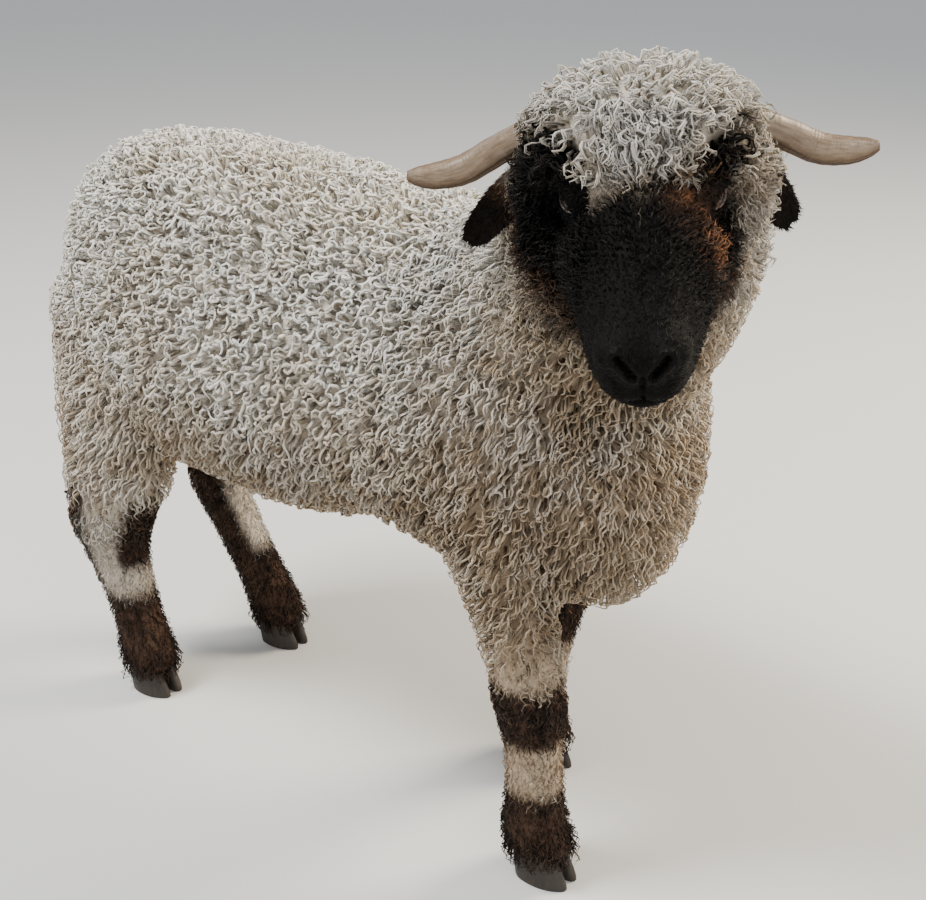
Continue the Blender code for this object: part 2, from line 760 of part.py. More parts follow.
def tail_sleeve(name, clear):
    """A smooth sleeve round the tail, which parts its clumps from those of the buttocks."""
    bm = bmesh.new()
    add_rings(bm, path_rings(TAIL, LEFT, grow=clear))
    return as_cutter(to_object(name, bm, CUTTERS))


def leg_box(name, keys, top, shrink=0.0):
    """The column that holds one leg below its cut."""
    near = [key for key in keys if key[2] < top + 0.02]
    low_x = min(key[0] - key[4] for key in near) - 0.012 + shrink
    high_x = max(key[0] + key[4] for key in near) + 0.012 - shrink
    low_y = min(key[1] - key[3] for key in near) - 0.012 + shrink
    high_y = max(key[1] + key[3] for key in near) + 0.012 - shrink
    return box_cutter(name, (low_x, low_y, -0.1), (high_x, high_y, top - shrink))


def centre_on_floor():
    """Move every node so that the origin is on the floor under the middle of the whole box."""
    points = [vert.co for part in ANIMAL.objects for vert in part.data.vertices]
    low = [min(point[axis] for point in points) for axis in range(3)]
    high = [max(point[axis] for point in points) for axis in range(3)]
    away = Vector((-(low[0] + high[0]) / 2, -(low[1] + high[1]) / 2, -low[2]))
    for part in ANIMAL.objects:
        part.data.transform(Matrix.Translation(away))


def build():
    """Make every node and part them with thin cuts."""
    body = make_body()
    head = make_head()
    tail = make_tail()

    neck_base = Vector((0.305, -0.020, 0.600))
    neck_way = Vector((0.603, -0.247, 0.758)).normalized()
    head_way = (HEAD.to_3x3() @ Vector((0, 0, 1))).normalized()
    head_base = HEAD @ Vector((0, 0, HEAD_CUT))

    cut(head, plane_box("behind_head", head_base + head_way * GAP / 2, head_way))
    cut(body, plane_box("before_neck", head_base - head_way * GAP / 2, -head_way))

    neck = copy_of(body, "neck")
    cut(neck, plane_box("below_neck", neck_base + neck_way * GAP / 2, neck_way))
    cut(body, plane_box("above_torso", neck_base - neck_way * GAP / 2, -neck_way))

    for name, keys in LEGS.items():
        top = FORELEG_CUT if name.startswith("fore") else HINDLEG_CUT
        leg = copy_of(body, name)
        cut(leg, leg_box(name + "_column", keys, top, GAP), "INTERSECT")
        cut(leg, box_cutter(name + "_foot", (-1, -1, -1), (1, 1, CLAW_HEIGHT)))
        cut(body, leg_box(name + "_socket", keys, top))
        finish(leg, WOOL)
        for half, side in (("inner", -1 if keys[0][1] > 0 else 1), ("outer", 1 if keys[0][1] > 0 else -1)):
            finish(make_claw(f"claw_{name}_{half}", keys, side), CLAW)

    hindquarters = copy_of(body, "hindquarters")
    cut(hindquarters, plane_box("before_hindquarters", (HIND_PLANE - GAP / 2, 0, 0), (-1, 0, 0)))
    cut(body, plane_box("behind_torso", (HIND_PLANE + GAP / 2, 0, 0), (1, 0, 0)))
    cut(hindquarters, tail_sleeve("tail_bed", TAIL_CLEAR))
    body.name = "torso"

    for name, side in (("left", 1), ("right", -1)):
        eye = make_eye("eye_" + name, side)
        horn = make_horn("horn_" + name, side)
        ear = make_ear("ear_" + name, side)
        cut(ear, grown(horn, "horn_clear_" + name))
        for part, coat in ((eye, EYE), (horn, HORN), (ear, BLACK_COAT)):
            cut(head, grown(part, part.name + "_bed"))
            finish(part, coat)

    for part in (body, hindquarters, neck, tail, head):
        finish(part, WOOL)
    centre_on_floor()


build()
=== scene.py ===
"""Looks of a young horned Valais Blacknose sheep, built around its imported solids."""
import json
import math

import bmesh
import bpy
import numpy as np
from mathutils import Matrix, Vector

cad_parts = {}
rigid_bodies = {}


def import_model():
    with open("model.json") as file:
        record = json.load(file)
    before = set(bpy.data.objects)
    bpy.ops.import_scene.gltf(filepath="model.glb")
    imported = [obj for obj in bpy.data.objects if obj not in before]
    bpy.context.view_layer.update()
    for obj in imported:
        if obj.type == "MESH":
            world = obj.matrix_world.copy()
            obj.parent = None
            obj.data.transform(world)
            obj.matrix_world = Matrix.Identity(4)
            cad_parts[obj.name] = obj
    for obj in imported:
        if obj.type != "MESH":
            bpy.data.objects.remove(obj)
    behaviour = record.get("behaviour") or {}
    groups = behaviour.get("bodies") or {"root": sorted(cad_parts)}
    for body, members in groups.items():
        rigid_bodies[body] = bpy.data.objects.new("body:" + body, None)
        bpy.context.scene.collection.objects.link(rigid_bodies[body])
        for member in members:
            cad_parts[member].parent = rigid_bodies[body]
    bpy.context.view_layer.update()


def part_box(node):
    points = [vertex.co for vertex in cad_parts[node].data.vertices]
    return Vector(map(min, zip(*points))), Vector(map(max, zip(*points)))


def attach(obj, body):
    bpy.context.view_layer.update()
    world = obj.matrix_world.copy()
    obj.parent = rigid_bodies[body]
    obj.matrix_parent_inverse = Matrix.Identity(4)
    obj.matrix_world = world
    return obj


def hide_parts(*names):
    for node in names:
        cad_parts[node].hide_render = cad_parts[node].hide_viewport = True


for leftover in list(bpy.data.objects):
    bpy.data.objects.remove(leftover)
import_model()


# The head's own frame: X along the nose, Y to the animal's left, Z up from the face. The eyes of
# the solids fix its place, and with it the place of everything else on the animal.
EYE_RADIUS = 0.0135
eye_seat = {side: Vector((0.0, side * 0.045, 0.002)) for side in (1, -1)}
head_turn = (
    Matrix.Rotation(math.radians(-57.9), 4, "Z")
    @ Matrix.Rotation(math.radians(28.0), 4, "Y")
    @ Matrix.Rotation(math.radians(3.8), 4, "X")
)
low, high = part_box("eye_right")
HEAD = Matrix.Translation((low + high) / 2 - head_turn.to_3x3() @ eye_seat[-1]) @ head_turn
BODY_PLACE = HEAD.translation - Vector((0.425, -0.139, 0.733))
HEAD_AXES = np.array(HEAD.to_3x3())
HEAD_SEAT = np.array(HEAD.translation)
LEFT = Vector((0, 1, 0))


def in_head(points):
    """World points as the head's frame sees them."""
    return (np.asarray(points) - HEAD_SEAT) @ HEAD_AXES


def in_body(points):
    """World points in the frame that the body's measures are written in."""
    return np.asarray(points) - np.array(BODY_PLACE)


def eased(share):
    """A share from 0 to 1 with soft ends."""
    share = np.clip(share, 0.0, 1.0)
    return share * share * (3 - 2 * share)


# The skin is one surface from muzzle to fetlocks, melted together from the shapes of trunk, neck,
# legs and skull. It lies under the wool, and each measure of a ring runs out to the wool's tips.
trunk_rings = (
    (-0.385, 0.0, 0.520, 0.062, 0.105),
    (-0.350, 0.0, 0.520, 0.100, 0.145),
    (-0.300, 0.0, 0.516, 0.136, 0.176),
    (-0.230, 0.0, 0.507, 0.164, 0.190),
    (-0.120, 0.0, 0.499, 0.180, 0.195),
    (0.000, 0.0, 0.496, 0.182, 0.190),
    (0.110, 0.0, 0.502, 0.176, 0.171),
    (0.210, 0.0, 0.490, 0.170, 0.176),
    (0.290, 0.0, 0.474, 0.154, 0.174),
    (0.350, -0.005, 0.462, 0.122, 0.148),
    (0.390, -0.010, 0.460, 0.078, 0.098),
)
neck_rings = (
    (0.180, 0.000, 0.500, 0.145, 0.150),
    (0.260, -0.002, 0.560, 0.140, 0.140),
    (0.325, -0.018, 0.625, 0.130, 0.126),
    (0.366, -0.045, 0.690, 0.116, 0.112),
    (0.385, -0.066, 0.752, 0.092, 0.088),
)
leg_rings = {
    "foreleg_right": (
        (0.245, -0.100, 0.480, 0.060, 0.090),
        (0.268, -0.098, 0.385, 0.050, 0.062),
        (0.288, -0.094, 0.310, 0.041, 0.045),
        (0.298, -0.090, 0.250, 0.035, 0.037),
        (0.303, -0.087, 0.208, 0.033, 0.035),
        (0.305, -0.083, 0.160, 0.028, 0.029),
        (0.306, -0.080, 0.100, 0.028, 0.030),
        (0.305, -0.077, 0.066, 0.032, 0.035),
        (0.312, -0.075, 0.040, 0.031, 0.036),
        (0.314, -0.075, 0.026, 0.029, 0.035),
    ),
    "foreleg_left": (
        (0.225, 0.100, 0.480, 0.060, 0.090),
        (0.222, 0.098, 0.385, 0.050, 0.062),
        (0.218, 0.094, 0.310, 0.041, 0.045),
        (0.216, 0.089, 0.250, 0.035, 0.037),
        (0.214, 0.085, 0.208, 0.033, 0.035),
        (0.208, 0.082, 0.160, 0.028, 0.029),
        (0.203, 0.080, 0.100, 0.028, 0.030),
        (0.200, 0.079, 0.066, 0.032, 0.035),
        (0.206, 0.078, 0.040, 0.031, 0.036),
        (0.208, 0.078, 0.026, 0.029, 0.035),
    ),
    "hindleg_right": (
        (-0.265, -0.080, 0.520, 0.068, 0.105),
        (-0.272, -0.092, 0.420, 0.062, 0.098),
        (-0.286, -0.097, 0.340, 0.056, 0.090),
        (-0.306, -0.097, 0.275, 0.048, 0.070),
        (-0.318, -0.096, 0.222, 0.040, 0.056),
        (-0.306, -0.095, 0.160, 0.031, 0.037),
        (-0.290, -0.094, 0.105, 0.028, 0.031),
        (-0.280, -0.094, 0.068, 0.031, 0.035),
        (-0.272, -0.094, 0.040, 0.031, 0.036),
        (-0.270, -0.094, 0.026, 0.029, 0.035),
    ),
    "hindleg_left": (
        (-0.260, 0.080, 0.520, 0.068, 0.105),
        (-0.262, 0.092, 0.420, 0.062, 0.098),
        (-0.280, 0.095, 0.340, 0.053, 0.072),
        (-0.304, 0.085, 0.270, 0.041, 0.049),
        (-0.314, 0.076, 0.222, 0.034, 0.040),
        (-0.288, 0.078, 0.165, 0.029, 0.033),
        (-0.256, 0.082, 0.105, 0.028, 0.031),
        (-0.236, 0.084, 0.068, 0.031, 0.035),
        (-0.224, 0.085, 0.040, 0.031, 0.036),
        (-0.221, 0.085, 0.026, 0.029, 0.035),
    ),
}
tail_rings = (
    (-0.325, 0.0, 0.600, 0.030, 0.026),
    (-0.354, 0.0, 0.600, 0.034, 0.028),
    (-0.378, 0.0, 0.575, 0.038, 0.029),
    (-0.389, 0.0, 0.505, 0.041, 0.029),
    (-0.386, 0.0, 0.400, 0.040, 0.028),
    (-0.378, 0.0, 0.310, 0.030, 0.022),
    (-0.376, 0.0, 0.285, 0.016, 0.012),
)
body_ovals = (
    ((0.335, -0.005, 0.440), (0.080, 0.112, 0.138)),
    ((-0.385, 0.000, 0.520), (0.028, 0.060, 0.103)),
)
# Along the nose: top, bottom and half width of the bare skull
skull_rings = (
    (-0.095, 0.020, -0.060, 0.042),
    (-0.050, 0.040, -0.095, 0.060),
    (0.000, 0.030, -0.104, 0.055),
    (0.045, 0.024, -0.097, 0.050),
    (0.085, 0.014, -0.088, 0.045),
    (0.115, 0.004, -0.079, 0.040),
    (0.138, -0.006, -0.070, 0.031),
    (0.151, -0.018, -0.058, 0.020),
)
# Nostril pads, upper lips, chin, brows, jaws, then topknot, cheeks and ruff
head_ovals = (
    ((0.132, 0.017, -0.019), (0.020, 0.018, 0.017)),
    ((0.124, 0.013, -0.043), (0.029, 0.020, 0.019)),
    ((0.110, 0.000, -0.067), (0.030, 0.022, 0.016)),
    ((-0.004, 0.043, 0.021), (0.024, 0.014, 0.010)),
    ((-0.020, 0.044, -0.058), (0.046, 0.022, 0.042)),
    ((-0.042, 0.000, 0.024), (0.064, 0.092, 0.058)),
    ((-0.056, 0.066, -0.026), (0.045, 0.040, 0.066)),
    ((-0.045, 0.040, -0.075), (0.042, 0.042, 0.040)),
)
BODY_COAT = 0.044
HEAD_COAT = 0.030
WOOL_ROOT = 0.5
BARE_LEG = 0.222
WOOLLY_LEG = 0.325
SKIN_VOXEL = 0.0045


def smooth_rows(keys, steps=4):
    """Rows between the given ones, on a soft curve through all of them."""
    padded = np.array([keys[0], *keys, keys[-1]], dtype=float)
    rows = []
    for i in range(1, len(padded) - 2):
        a, b, c, d = padded[i - 1 : i + 3]
        for step in range(steps):
            t = step / steps
            rows.append(0.5 * (
                2 * b + (c - a) * t + (2 * a - 5 * b + 4 * c - d) * t ** 2
                + (3 * b - a - 3 * c + d) * t ** 3
            ))
    rows.append(padded[-1])
    return rows


def tube_of(bm, rings):
    """Skin a row of rings and close both ends."""
    skins = [[bm.verts.new(point) for point in ring] for ring in rings]
    sides = len(skins[0])
    for near, far in zip(skins, skins[1:]):
        for i in range(sides):
            bm.faces.new((near[i], near[(i + 1) % sides], far[(i + 1) % sides], far[i]))
    for ring in (skins[0], skins[-1]):
        pole = bm.verts.new(sum((vert.co for vert in ring), Vector()) / sides)
        for i in range(sides):
            bm.faces.new((ring[i], ring[(i + 1) % sides], pole))


def limb(bm, keys, side=LEFT, place=Matrix.Translation(BODY_PLACE), sides=24, steps=4):
    """Oval rings across a path, closed into a tube."""
    rows = smooth_rows(keys, steps)
    centres = [Vector(row[:3]) for row in rows]
    rings = []
    for i, row in enumerate(rows):
        ahead = (centres[min(i + 1, len(rows) - 1)] - centres[max(i - 1, 0)]).normalized()
        across = (side - ahead * side.dot(ahead)).normalized()
        deep = ahead.cross(across)
        rings.append([
            place @ (centres[i] + across * row[3] * math.cos(a) + deep * row[4] * math.sin(a))
            for a in (math.tau * k / sides for k in range(sides))
        ])
    tube_of(bm, rings)


def oval(bm, centre, radii, place):
    """A closed oval."""
    shape = place @ Matrix.LocRotScale(Vector(centre), None, Vector(radii))
    bmesh.ops.create_icosphere(bm, subdivisions=4, radius=1.0, matrix=shape)


def new_piece(name, bm):
    """A closed bmesh as an object at the origin, faces outward and shaded smooth."""
    bmesh.ops.recalc_face_normals(bm, faces=bm.faces[:])
    mesh = bpy.data.meshes.new(name)
    bm.to_mesh(mesh)
    bm.free()
    mesh.shade_smooth()
    piece = bpy.data.objects.new(name, mesh)
    bpy.context.scene.collection.objects.link(piece)
    return piece


def finished(piece):
    """The piece with its modifiers made real."""
    graph = bpy.context.evaluated_depsgraph_get()
    graph.update()
    mesh = bpy.data.meshes.new_from_object(piece.evaluated_get(graph))
    piece.modifiers.clear()
    piece.data = mesh
    return piece


def mesh_points(mesh):
    """A mesh's points and their normals, as arrays."""
    points = np.empty(len(mesh.vertices) * 3)
    mesh.vertices.foreach_get("co", points)
    normals = np.empty(len(mesh.vertices) * 3)
    mesh.vertex_normals.foreach_get("vector", normals)
    return points.reshape(-1, 3), normals.reshape(-1, 3)


def head_share(points):
    """How far a point belongs to the head, from 0 on the neck to 1 above the jaw."""
    down = -in_head(points)[:, 2]
    ahead = in_head(points)[:, 0]
    return 1 - eased((down - 0.085 - 0.35 * np.clip(ahead, 0, 1)) / 0.025)


def wool_depth(points):
    """Depth of the wool: full on trunk and neck, less on the head, none on face and lower legs."""
    height = in_body(points)[:, 2]
    body = BODY_COAT * eased((height - BARE_LEG) / (WOOLLY_LEG - BARE_LEG))
    x, y, z = in_head(points).T
    edge = -0.026 + 0.055 * eased((z - 0.012) / 0.022) + 0.016 * eased((-z - 0.04) / 0.04)
    head = HEAD_COAT * eased(0.5 + (edge - x) / 0.014)
    share = head_share(points)
    return body * (1 - share) + head * share


def smooth_by(piece, weights, rounds):
    """Even out the surface, as strongly as the weights say."""
    group = piece.vertex_groups.new(name="soften")
    for level in np.unique(weights):
        group.add(np.nonzero(weights == level)[0].tolist(), float(level), "REPLACE")
    soften = piece.modifiers.new("soften", "SMOOTH")
    soften.factor = 0.5
    soften.iterations = rounds
    soften.vertex_group = "soften"
    finished(piece)
    piece.vertex_groups.clear()


bm = bmesh.new()
limb(bm, trunk_rings)
limb(bm, neck_rings)
for keys in leg_rings.values():
    limb(bm, keys)
in_place = Matrix.Translation(BODY_PLACE)
for centre, radii in body_ovals:
    oval(bm, centre, radii, in_place)
rings = []
for x, top, bottom, half in smooth_rows(skull_rings):
    middle, tall = (top + bottom) / 2, (top - bottom) / 2
    turns = [math.tau * k / 32 for k in range(32)]
    rings.append([
        HEAD @ Vector((x, half * math.cos(a), middle + tall * math.sin(a))) for a in turns])
tube_of(bm, rings)
for centre, radii in head_ovals:
    for side in ((1, -1) if centre[1] else (1,)):
        oval(bm, (centre[0], side * centre[1], centre[2]), radii, HEAD)
for seat in eye_seat.values():
    oval(bm, seat, (EYE_RADIUS + 0.0035,) * 3, HEAD)
skin = new_piece("skin", bm)
remesh = skin.modifiers.new("melt", "REMESH")
remesh.mode = "VOXEL"
remesh.voxel_size = SKIN_VOXEL
finished(skin)
points, normals = mesh_points(skin.data)
bare_head = head_share(points) * eased((in_head(points)[:, 0] + 0.108) / 0.05)
body_weight = np.round(1 - 0.92 * bare_head, 1)
smooth_by(skin, body_weight, 48)
points, normals = mesh_points(skin.data)
sunk = points - normals * (WOOL_ROOT * wool_depth(points) + 0.0005)[:, None]
skin.data.vertices.foreach_set("co", sunk.ravel())
smooth_by(skin, np.round(1 - 0.6 * head_share(sunk), 1), 8)

# Coarser faces under the fleece, where nothing but gaps between the curls shows them
group = skin.vertex_groups.new(name="under wool")
points, normals = mesh_points(skin.data)
hidden = (head_share(points) < 0.5) & (in_body(points)[:, 2] > 0.24)
group.add(np.nonzero(hidden)[0].tolist(), 1.0, "REPLACE")
group.add(np.nonzero(~hidden)[0].tolist(), 0.02, "REPLACE")
thin = skin.modifiers.new("coarser", "DECIMATE")
thin.ratio = 0.42
thin.vertex_group = "under wool"
thin.vertex_group_factor = 1.0
finished(skin)
skin.vertex_groups.clear()

# Finer faces where the head is bare or nearly so, for eyelids, nostrils and lips
bm = bmesh.new()
bm.from_mesh(skin.data)
for reach in (-0.035, -0.022):
    bm.faces.ensure_lookup_table()
    middles = np.array([face.calc_center_median()[:] for face in bm.faces])
    x, y, z = in_head(middles).T
    face_part = (x > reach) & (z > -0.12) & (z < 0.05) & (np.abs(y) < 0.09) & (x < 0.18)
    edges = {edge for i in np.nonzero(face_part)[0] for edge in bm.faces[i].edges}
    bmesh.ops.subdivide_edges(bm, edges=list(edges), cuts=1, use_grid_fill=True)
bmesh.ops.triangulate(bm, faces=[face for face in bm.faces if len(face.verts) > 4])
bm.to_mesh(skin.data)
bm.free()
points, normals = mesh_points(skin.data)
x, y, z = in_head(points).T
face_part = (x > -0.04) & (np.abs(y) < 0.09) & (z > -0.12) & (z < 0.05) & (x < 0.18)
smooth_by(skin, np.where(face_part, 1.0, 0.0), 6)


# Eyelids, nostrils, lips and the groove under the nose are folds of the same skin, pushed in and
# out of it. The lids close over the eyeballs and leave an opening like an almond.
EYE_LOOK = Vector((0.42, 0.88, 0.12)).normalized()
LID = 0.0026
LIDS_WIDE, LIDS_UP, LIDS_DOWN = math.radians(50), math.radians(25), math.radians(21)
LIDS_REACH = 0.034


def laid_on_skin(line):
    """A line of points in the head's frame, moved onto the skin."""
    found = []
    for point in line:
        hit, spot, normal, face = skin.closest_point_on_mesh(HEAD @ Vector(point))
        found.append(tuple(HEAD.inverted() @ spot))
    return tuple(found)


mouth_line = laid_on_skin((
    (0.080, 0.050, -0.055), (0.100, 0.045, -0.058), (0.122, 0.036, -0.060), (0.140, 0.024, -0.058),
    (0.150, 0.012, -0.054), (0.156, 0.000, -0.051),
))
nostril_line = laid_on_skin((
    (0.155, 0.0070, -0.027), (0.153, 0.0108, -0.021), (0.150, 0.0145, -0.016),
    (0.145, 0.0172, -0.014),
))
nose_groove = laid_on_skin(((0.158, 0.000, -0.028), (0.160, 0.000, -0.038), (0.160, 0.000, -0.050)))


def distance_to_line(points, line):
    """How far each point lies from a line of straight parts."""
    nearest = np.full(len(points), 1.0)
    for start, end in zip(np.array(line[:-1]), np.array(line[1:])):
        run = end - start
        share = np.clip((points - start) @ run / (run @ run), 0, 1)
        gap = np.linalg.norm(points - start - share[:, None] * run, axis=1)
        nearest = np.minimum(nearest, gap)
    return nearest


def hill(distance, width):
    """A soft bump, 1 at its middle."""
    return np.exp(-((distance / width) ** 2))


def eye_axes(side):
    """Where an eye looks, its forward corner's direction and its upward direction."""
    look = np.array((EYE_LOOK.x, side * EYE_LOOK.y, EYE_LOOK.z))
    forward = np.array((1.0, 0, -0.25)) - look * (look[0] - 0.25 * look[2])
    forward /= np.linalg.norm(forward)
    upward = np.cross(look, forward) * -side
    return look, forward, upward


def eye_opening(directions, side):
    """0 at the middle of the lids' opening, 1 at their rims."""
    look, forward, upward = eye_axes(side)
    ahead = directions @ look
    across = np.arctan2(directions @ forward, ahead) / LIDS_WIDE
    tall = np.arctan2(directions @ upward, ahead)
    tall = tall / np.where(tall > 0, LIDS_UP, LIDS_DOWN)
    return np.sqrt(across ** 2 + tall ** 2) + 0.10 * np.abs(across * tall)


points, normals = mesh_points(skin.data)
local = in_head(points)
turned = normals @ HEAD_AXES
lift = np.zeros(len(local))
for side in (1, -1):
    mirrored = local * (1, side, 1)
    off_nostril = distance_to_line(mirrored, nostril_line)
    lift += 0.0016 * hill(off_nostril - 0.0050, 0.0020) - 0.0058 * hill(off_nostril, 0.0020)
    off_mouth = distance_to_line(mirrored, mouth_line)
    lift += 0.5 * (0.0022 * hill(off_mouth - 0.0060, 0.0034) - 0.0046 * hill(off_mouth, 0.0017))
    lift -= 0.0022 * hill(np.linalg.norm(mirrored - (0.028, 0.043, -0.010), axis=1), 0.009)
lift += 0.0016 * hill(np.linalg.norm(local - (0.060, 0.0, 0.016), axis=1), 0.030)
lift -= 0.0022 * hill(distance_to_line(local, nose_groove), 0.0018)
local = local + turned * lift[:, None]
for side in (1, -1):
    seat = np.array(eye_seat[side])
    away = local - seat
    reach = np.linalg.norm(away, axis=1)
    near = reach < LIDS_REACH
    aim = away / np.maximum(reach, 1e-6)[:, None]
    opening = eye_opening(aim, side)
    rim = EYE_RADIUS + LID * (1 - 0.35 * eased((opening - 1.15) / 1.2))
    outer = 0.5 * (reach + rim + np.sqrt((reach - rim) ** 2 + 0.0035 ** 2))
    look = eye_axes(side)[0]
    facing = aim @ look > 0.12
    new_reach = np.where(opening < 1.0, EYE_RADIUS - 0.0035, outer)
    fade = eased((LIDS_REACH - reach) / 0.008)
    new_reach = reach + (new_reach - reach) * np.where(opening < 1.0, 1.0, fade)
    moved = near & facing
    local[moved] = seat + aim[moved] * new_reach[moved, None]
placed = local @ HEAD_AXES.T + HEAD_SEAT
skin.data.vertices.foreach_set("co", placed.ravel())
skin.data.update()


# The breed's markings: black face, ears, knees, hocks and feet, brown where black meets white,
# and wool clean on the back and browner on belly, chest and thighs from dirt and painted shade.
def markings(points, normals):
    """How black, how brown and how soiled the coat is, each from 0 to 1, with painted shade in the
    soil and painted sunlight in the left cheek's brown.
    """
    x, y, z = in_head(points).T
    on_head = head_share(points)
    middle = 1 - eased((np.abs(y + 0.010) - 0.024) / 0.016)
    edge = -0.046 + (0.056 + 0.014 * eased(-y / 0.02)) * middle * eased((z + 0.012) / 0.02)
    low_jaw = eased((-z - 0.055) / 0.03)
    edge = edge + (0.040 + 0.020 * eased(0.5 - y / 0.04)) * low_jaw
    top = 0.024 + 0.014 * eased((np.abs(y) - 0.03) / 0.02)
    black = on_head * eased(0.5 + (x - edge) / (0.016 + 0.030 * low_jaw))
    black = black * (1 - eased((z - top) / 0.012))
    outer = np.where(y > 0, 0.0605, 0.105 - 0.030 * eased(z / 0.03))
    beside = 1 - eased((x - np.where(y > 0, 0.022, 0.005)) / 0.02)
    beside = beside * eased((np.abs(y) - outer) / 0.012)
    black = black * (1 - 0.92 * beside)
    # Brown on the left cheek and brow, on that side only: the hair's own brown tips together with
    # painted sunlight on the side of the face the light falls on
    off_cheek = np.linalg.norm(in_head(points) - (0.036, 0.044, -0.018), axis=1)
    off_brow = np.linalg.norm(in_head(points) - (0.022, 0.028, 0.006), axis=1)
    cheek = np.maximum(1.15 * hill(off_cheek, 0.022), 0.80 * hill(off_brow, 0.024))
    fringe = hill(x - edge - 0.006, 0.012) * eased((-z - 0.010) / 0.03)
    jaw = eased((-z - 0.052) / 0.018) * eased((0.085 - x) / 0.03) * eased((np.abs(y) - 0.02) / 0.02)
    beard = hill(x - edge + 0.004, 0.018) * eased((-z - 0.004) / 0.03)
    beard = beard * eased((np.abs(y) - 0.02) / 0.02)
    edges = np.minimum(0.36, 0.6 * fringe + 0.5 * jaw + 0.5 * beard)
    brown = on_head * np.clip(np.maximum(cheek * eased(y / 0.02), edges), 0, 1)
    bx, by, bz = in_body(points).T
    fore = (bx > 0.08) & (bz < 0.33)
    hind = (bx < -0.08) & (bz < 0.33)
    knee = eased((0.250 - bz) / 0.016) * eased((bz - 0.163) / 0.016)
    foot = eased((0.124 - bz) / 0.020)
    inner = np.where(by > 0, -normals[:, 1], normals[:, 1])
    facing = normals[:, 0]
    hock_side = np.maximum(eased(0.5 - (facing + 0.05) / 0.5), eased((inner - 0.1) / 0.5))
    hock_left = hock_side * eased(0.5 + (0.75 - facing) / 0.3)
    hock_right = np.maximum(hock_side, eased((facing - 0.45) / 0.3))
    hock_side = np.where(by > 0, hock_left, hock_right)
    hock = eased((0.285 - bz) / 0.022) * eased((bz - 0.158) / 0.025) * hock_side
    shank_back = np.where(by > 0, hock_side, 0.9 * eased(0.5 - (facing + 0.15) / 0.4))
    shank = eased((0.20 - bz) / 0.02) * shank_back
    foot_hind = eased((0.150 - bz) / 0.024)
    legs = np.where(fore, np.maximum(knee, foot), 0)
    legs = legs + np.where(hind, np.maximum(np.maximum(hock, shank), foot_hind), 0)
    black = np.maximum(black, legs * (1 - on_head))
    on_legs = 0.30 + 0.12 * hill(bz - 0.165, 0.025) + 0.12 * hill(bz - 0.09, 0.04)
    brown = np.maximum(brown, (1 - on_head) * (fore | hind) * on_legs)
    # Browner low down, where the coat faces downwards, on chest and throat and at the rear: dirt
    # together with painted shade under the body
    low = (1 - eased((bz - 0.35) / 0.27)) * (1 - 0.35 * eased((0.30 - bz) / 0.06))
    under = eased((-normals[:, 2] - 0.05) / 0.6)
    chest = eased((bx - 0.10) / 0.18) * (1 - eased((bz - 0.54) / 0.16))
    rear = eased((-bx - 0.22) / 0.12) * (1 - eased((bz - 0.40) / 0.22))
    throat = hill(np.linalg.norm(np.stack((x - 0.02, 0.7 * y, z + 0.12), axis=1), axis=1), 0.085)
    soil_and_shade = 0.05 + 0.52 * low + 0.30 * under + 0.50 * chest + 0.16 * rear + 0.58 * throat
    soil_and_shade = np.clip(soil_and_shade, 0, 1)
    crown = eased((z - 0.02) / 0.05)
    ahead = eased((x + 0.095) / 0.06)
    soil_and_shade = soil_and_shade * (1 - on_head) + on_head * (0.14 + 0.04 * ahead + 0.50 * (1 - crown) * ahead)
    return np.stack((black, brown, soil_and_shade), axis=1)


def unwrap(piece):
    """Lay the piece's surface out flat on its own map."""
    for thing in bpy.context.view_layer.objects:
        thing.select_set(thing is piece)
    bpy.context.view_layer.objects.active = piece
    bpy.ops.object.mode_set(mode="EDIT")
    bpy.ops.mesh.select_all(action="SELECT")
    bpy.ops.uv.smart_project(angle_limit=math.radians(66), island_margin=0.001)
    bpy.ops.object.mode_set(mode="OBJECT")
    piece.data.uv_layers[0].name = "OFBake"


def paint_points(piece, name, kind, values):
    """Write one value to each point of a piece."""
    layer = piece.data.attributes.new(name, kind, "POINT")
    field = "value" if kind == "FLOAT" else "vector"
    layer.data.foreach_set(field, np.asarray(values, dtype=float).ravel())


points, normals = mesh_points(skin.data)
paint_points(skin, "marks", "FLOAT_VECTOR", markings(points, normals))
x, y, z = in_head(points).T
wet = hill(np.minimum(
    distance_to_line(in_head(points), nostril_line),
    distance_to_line(in_head(points) * (1, -1, 1), nostril_line)), 0.010)
paint_points(skin, "wet", "FLOAT", wet * (x > 0.1))
unwrap(skin)


